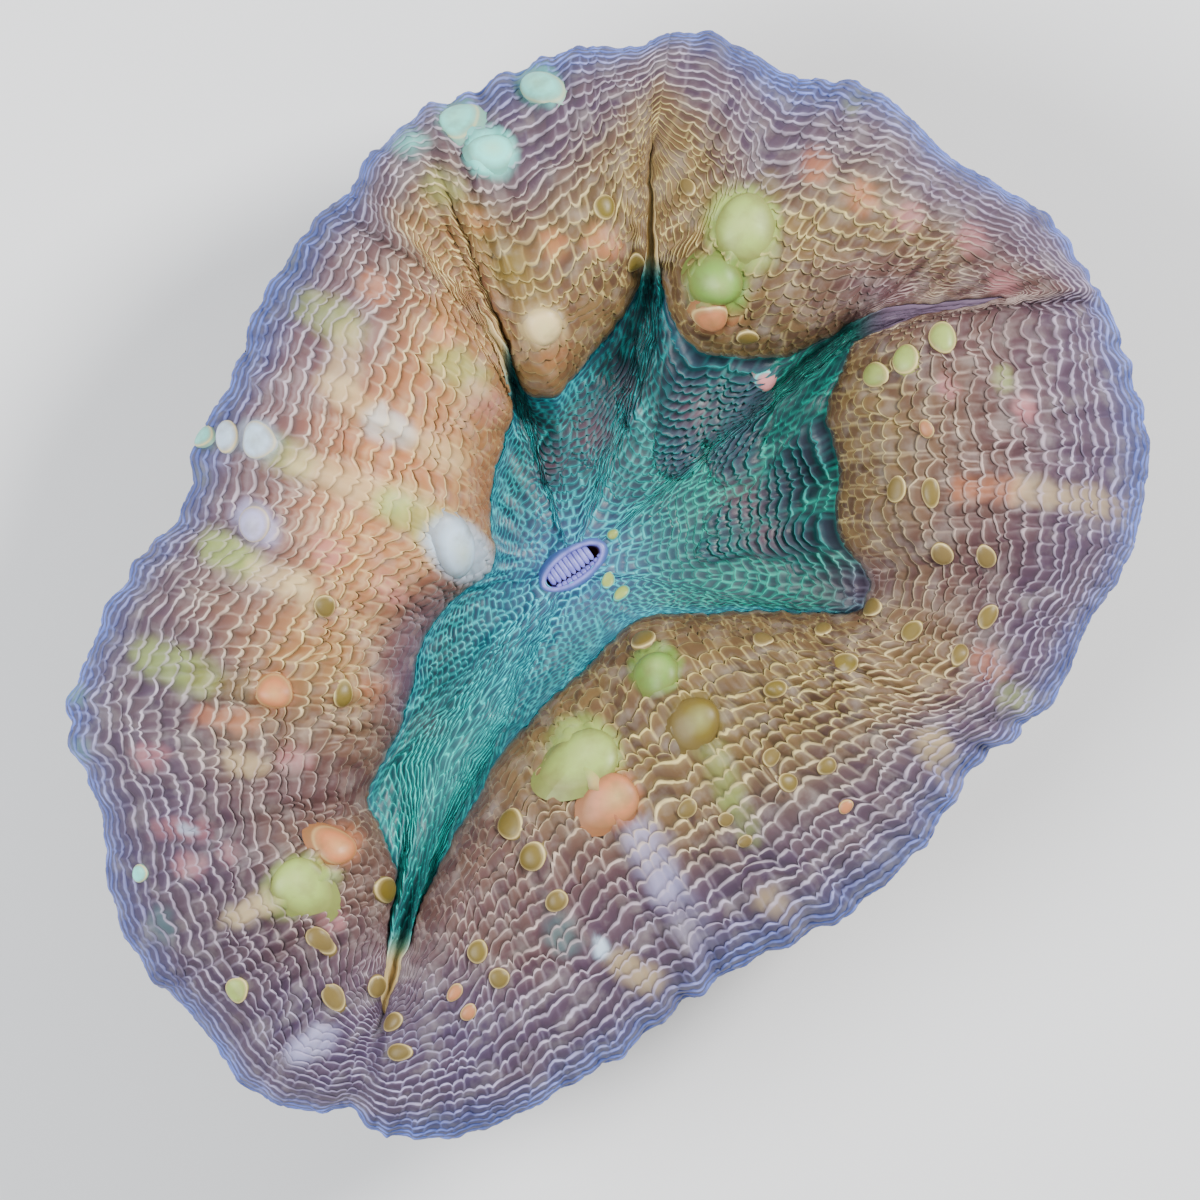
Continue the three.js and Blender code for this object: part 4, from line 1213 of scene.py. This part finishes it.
def closed(points, layers):
    """A patch whose last column meets its first."""
    return columns_of(points, layers, 0, points.shape[1])


# [name, first ray, last ray]
LOBES = [
    ["back_right_lobe", 0, 16],
    ["right_lobe", 16, 32],
    ["lower_right_lobe", 32, 47],
    ["lower_left_lobe", 47, 60],
    ["left_lobe", 60, 72],
    ["back_left_lobe", 72, 85],
]
mantle_flesh = mantle_material()
for name, first, last in LOBES:
    patch_piece(name, [columns_of(points, mantle_layers, first * PER_RAY, last * PER_RAY)], mantle_flesh)

disc_flesh = disc_material()
disc_layers = disc_masks()
half_way = disc_columns // 2
for name, first, last in [("disc_right", 0, half_way), ("disc_left", half_way, disc_columns)]:
    patch_piece(name, [columns_of(disc_points, disc_layers, first, last)], disc_flesh)

patch_piece("underside", [closed(*underside())], under_material())

# Crisp beads: low pillows with a pale rim, sunk into the flesh
RING_SHARES = np.array([1.16, 1.0, 0.95, 0.87, 0.72, 0.5, 0.25, 0.002])
RING_LINES = np.array([0.0, 0.15, 1.0, 0.25, 0.0, 0.0, 0.0, 0.0])
ROUND = 30
DEEPEST = 0.06
FLESH_TONE = np.array([0.20, 0.13, 0.07])
bead_random = np.random.default_rng(77)


def ground_of(skin_grid):
    """Points and normals of a skin, with a tree to find the nearest point."""
    flat = skin_grid.reshape(-1, 3)
    tree = KDTree(len(flat))
    for k, point in enumerate(flat):
        tree.insert(point, k)
    tree.balance()
    return flat, normals_of(skin_grid).reshape(-1, 3), tree


def ground_under(plane, normal, ground, deepest):
    """How far the ground lies from each point of a bead's plane, along the bead's normal."""
    flat, flat_normals, tree = ground
    sunk = np.zeros(plane.shape[:2])
    for ring in np.ndindex(sunk.shape):
        for _ in range(3):
            _, index, _ = tree.find(plane[ring] + sunk[ring] * normal)
            facing_up = max(np.dot(flat_normals[index], normal), 0.4)
            sunk[ring] = np.dot(flat[index] - plane[ring], flat_normals[index]) / facing_up
    return np.clip(sunk, -deepest, deepest)


def pillow(bead, seat, ground, on_disc=0.0):
    """One bead laid on its seat as a patch of rings, with its masks."""
    _, _, long, wide, name, strength = bead
    centre, normal, along = seat
    narrow = min(long, wide)
    side = np.cross(normal, along)
    side /= np.linalg.norm(side)
    side /= max(math.hypot(side[0], side[1]), 0.5)
    turn = np.linspace(0, 2 * np.pi, ROUND, endpoint=False)
    two_waves = 0.05 * np.sin(2 * turn + bead_random.uniform(0, 6))
    three_waves = 0.03 * np.sin(3 * turn + bead_random.uniform(0, 6))
    wavy = 1 + two_waves + three_waves
    rise = min(0.2 + 0.013 * narrow, 0.75)
    whole = np.ones((len(RING_SHARES), ROUND))
    q = RING_SHARES[:, None] * whole
    turns = whole * turn
    plane = centre + (HALF_TENTH * long * q * wavy * np.cos(turn))[..., None] * along
    plane = plane + (HALF_TENTH * wide * q * wavy * np.sin(turn))[..., None] * side
    sunk = ground_under(plane, normal, ground, DEEPEST * narrow)
    # The ground under a bead is followed only in its slope and its bend
    slope = [whole, q * np.cos(turns), q * np.sin(turns)]
    bend = [q**2, q**2 * np.cos(2 * turns), q**2 * np.sin(2 * turns)]
    forms = np.stack(slope + bend, axis=-1).reshape(-1, 6)
    fitted = np.linalg.lstsq(forms, sunk.ravel(), rcond=None)[0]
    ground_level = (forms @ fitted).reshape(q.shape)
    lifted = rise * (1 - np.minimum(q, 1) ** 2.6) ** 0.6 - np.where(q > 1.1, 0.6, 0)
    patch = plane + (ground_level + lifted + 0.05)[..., None] * normal
    big = bigness(long, wide)
    line = RING_LINES[:, None] * whole * (1 - 0.95 * big)
    tone = lerp(FLESH_TONE, linear(PALETTE[name]), 0.35 + 0.65 * strength)
    paint_layer = np.dstack([tone * whole[..., None], (1 - np.minimum(q, 1))])
    marks_layer = np.dstack([line, big * whole, on_disc * whole, whole])
    return closed(patch, {"marks": marks_layer, "paint": paint_layer})


mantle_ground = ground_of(skin[::2, ::3])
bead_patches = [pillow(bead, seat, mantle_ground) for bead, seat in zip(BEADS, bead_seats)]
disc_ground = ground_of(disc_skin[:, ::2])
slant = np.array([math.cos(DISC_BEAD_TURN), math.sin(DISC_BEAD_TURN), 0])
for bead in DISC_BEADS:
    cx, cy = mm(bead[:2])
    seat = np.unravel_index(np.argmin(np.hypot(dx - cx, dy - cy)), dx.shape)
    bead_patches.append(pillow(bead, (disc_points[seat], disc_weave.normals[seat], slant), disc_ground, 1.0))
patch_piece("swollen_beads", bead_patches, bead_material())

# Mouth: a smooth lip round the slit, folds from both sides that meet in a zigzag, and a dark throat
AROUND = 160
# [way out from the slit, height, and the masks side, gap and outside]
LIP_RINGS = [
    [0.95, 0.3, 0.5, 0.0, 1.0],
    [0.68, 0.85, 0.3, 0.0, 1.0],
    [0.42, 1.14, 0.1, 0.0, 0.8],
    [0.2, 1.24, 0.0, 0.0, 0.2],
    [0.04, 1.16, 0.0, 0.0, 0.0],
    [-0.08, 0.9, 0.4, 0.0, 0.0],
    [-0.2, -0.1, 1.0, 0.5, 0.0],
    [-0.4, -1.0, 1.0, 1.0, 0.0],
    [-1.34, -1.3, 1.0, 1.0, 0.0],
]
FOLDS = 10
FOLD_ROWS = 12
FOLD_ROUND = 12
FOLD_PITCH = 1.72 * MOUTH_HALF_LENGTH / FOLDS
# [side of the slit, end as a share of its half width, shift in folds]
FOLD_SIDES = [[1, -0.54, 0.0], [-1, 0.5, 0.5]]


def at_mouth(u, v, z):
    """Points given along and across the slit and up from its height, in the shared frame."""
    mouth_x, mouth_y = mm(MOUTH)
    cos_turn, sin_turn = math.cos(MOUTH_TURN), math.sin(MOUTH_TURN)
    x = mouth_x + u * cos_turn - v * sin_turn
    y = mouth_y + u * sin_turn + v * cos_turn
    return np.stack([x, y, MOUTH_HEIGHT + z], axis=-1)


def mouth_lip():
    around = np.linspace(0, 2 * np.pi, AROUND, endpoint=False)
    grow, rise, side, gap, outside = (column[:, None] * np.ones(AROUND) for column in np.transpose(LIP_RINGS))
    u = (MOUTH_HALF_LENGTH + grow) * np.cos(around)
    v = (MOUTH_HALF_WIDTH + grow) * np.sin(around)
    return closed(at_mouth(u, v, rise), {"marks": np.dstack([side, gap, outside, np.ones(side.shape)])})


def mouth_fold(middle_u, side, tip):
    """One pale fold, from under the lip over the slit."""
    far = (MOUTH_HALF_WIDTH + 0.12) * math.sqrt(1 - (middle_u / (MOUTH_HALF_LENGTH + 0.12)) ** 2)
    f = np.linspace(0, 1, FOLD_ROWS + 1)[:, None]
    turn = side * np.linspace(0, 2 * np.pi, FOLD_ROUND, endpoint=False)[None]
    rounded = np.sqrt(np.clip(1 - (np.clip((f - 0.7) / 0.3, 0, 1)) ** 2, 0.002, 1))
    thick = 0.55 * FOLD_PITCH * rounded * (0.9 + 0.1 * f)
    v = side * far * lerp(1, tip, f) * np.ones_like(turn)
    u = middle_u + thick * np.cos(turn)
    z = 0.45 + 0.22 * np.sin(np.pi * f) - 0.1 * f + 0.7 * thick * np.sin(turn)
    shade = np.clip(0.55 * (1 - f) * np.ones_like(turn) + 0.6 * np.abs(np.cos(turn)) ** 3, 0, 1)
    return closed(at_mouth(u, v, z), {"marks": np.dstack([shade, 0 * shade, 0 * shade, 0 * shade + 1])})


lip_material = mouth_material()
patch_piece("mouth_lip", [mouth_lip()], lip_material)
fold_patches = []
for k in range(FOLDS):
    for side, tip, shift in FOLD_SIDES:
        middle_u = -0.86 * MOUTH_HALF_LENGTH + (k + 0.5 + shift) * FOLD_PITCH
        past_end = abs(middle_u) > 0.93 * MOUTH_HALF_LENGTH
        if not past_end and not (side > 0 and k == FOLDS - 1):
            fold_patches.append(mouth_fold(middle_u, side, tip))
patch_piece("mouth_folds", fold_patches, lip_material)

# Floor
bpy.ops.mesh.primitive_plane_add(size=4, location=(0, 0, 0))
floor = bpy.context.object
floor.name = "floor"
floor.data.materials.append(floor_material())
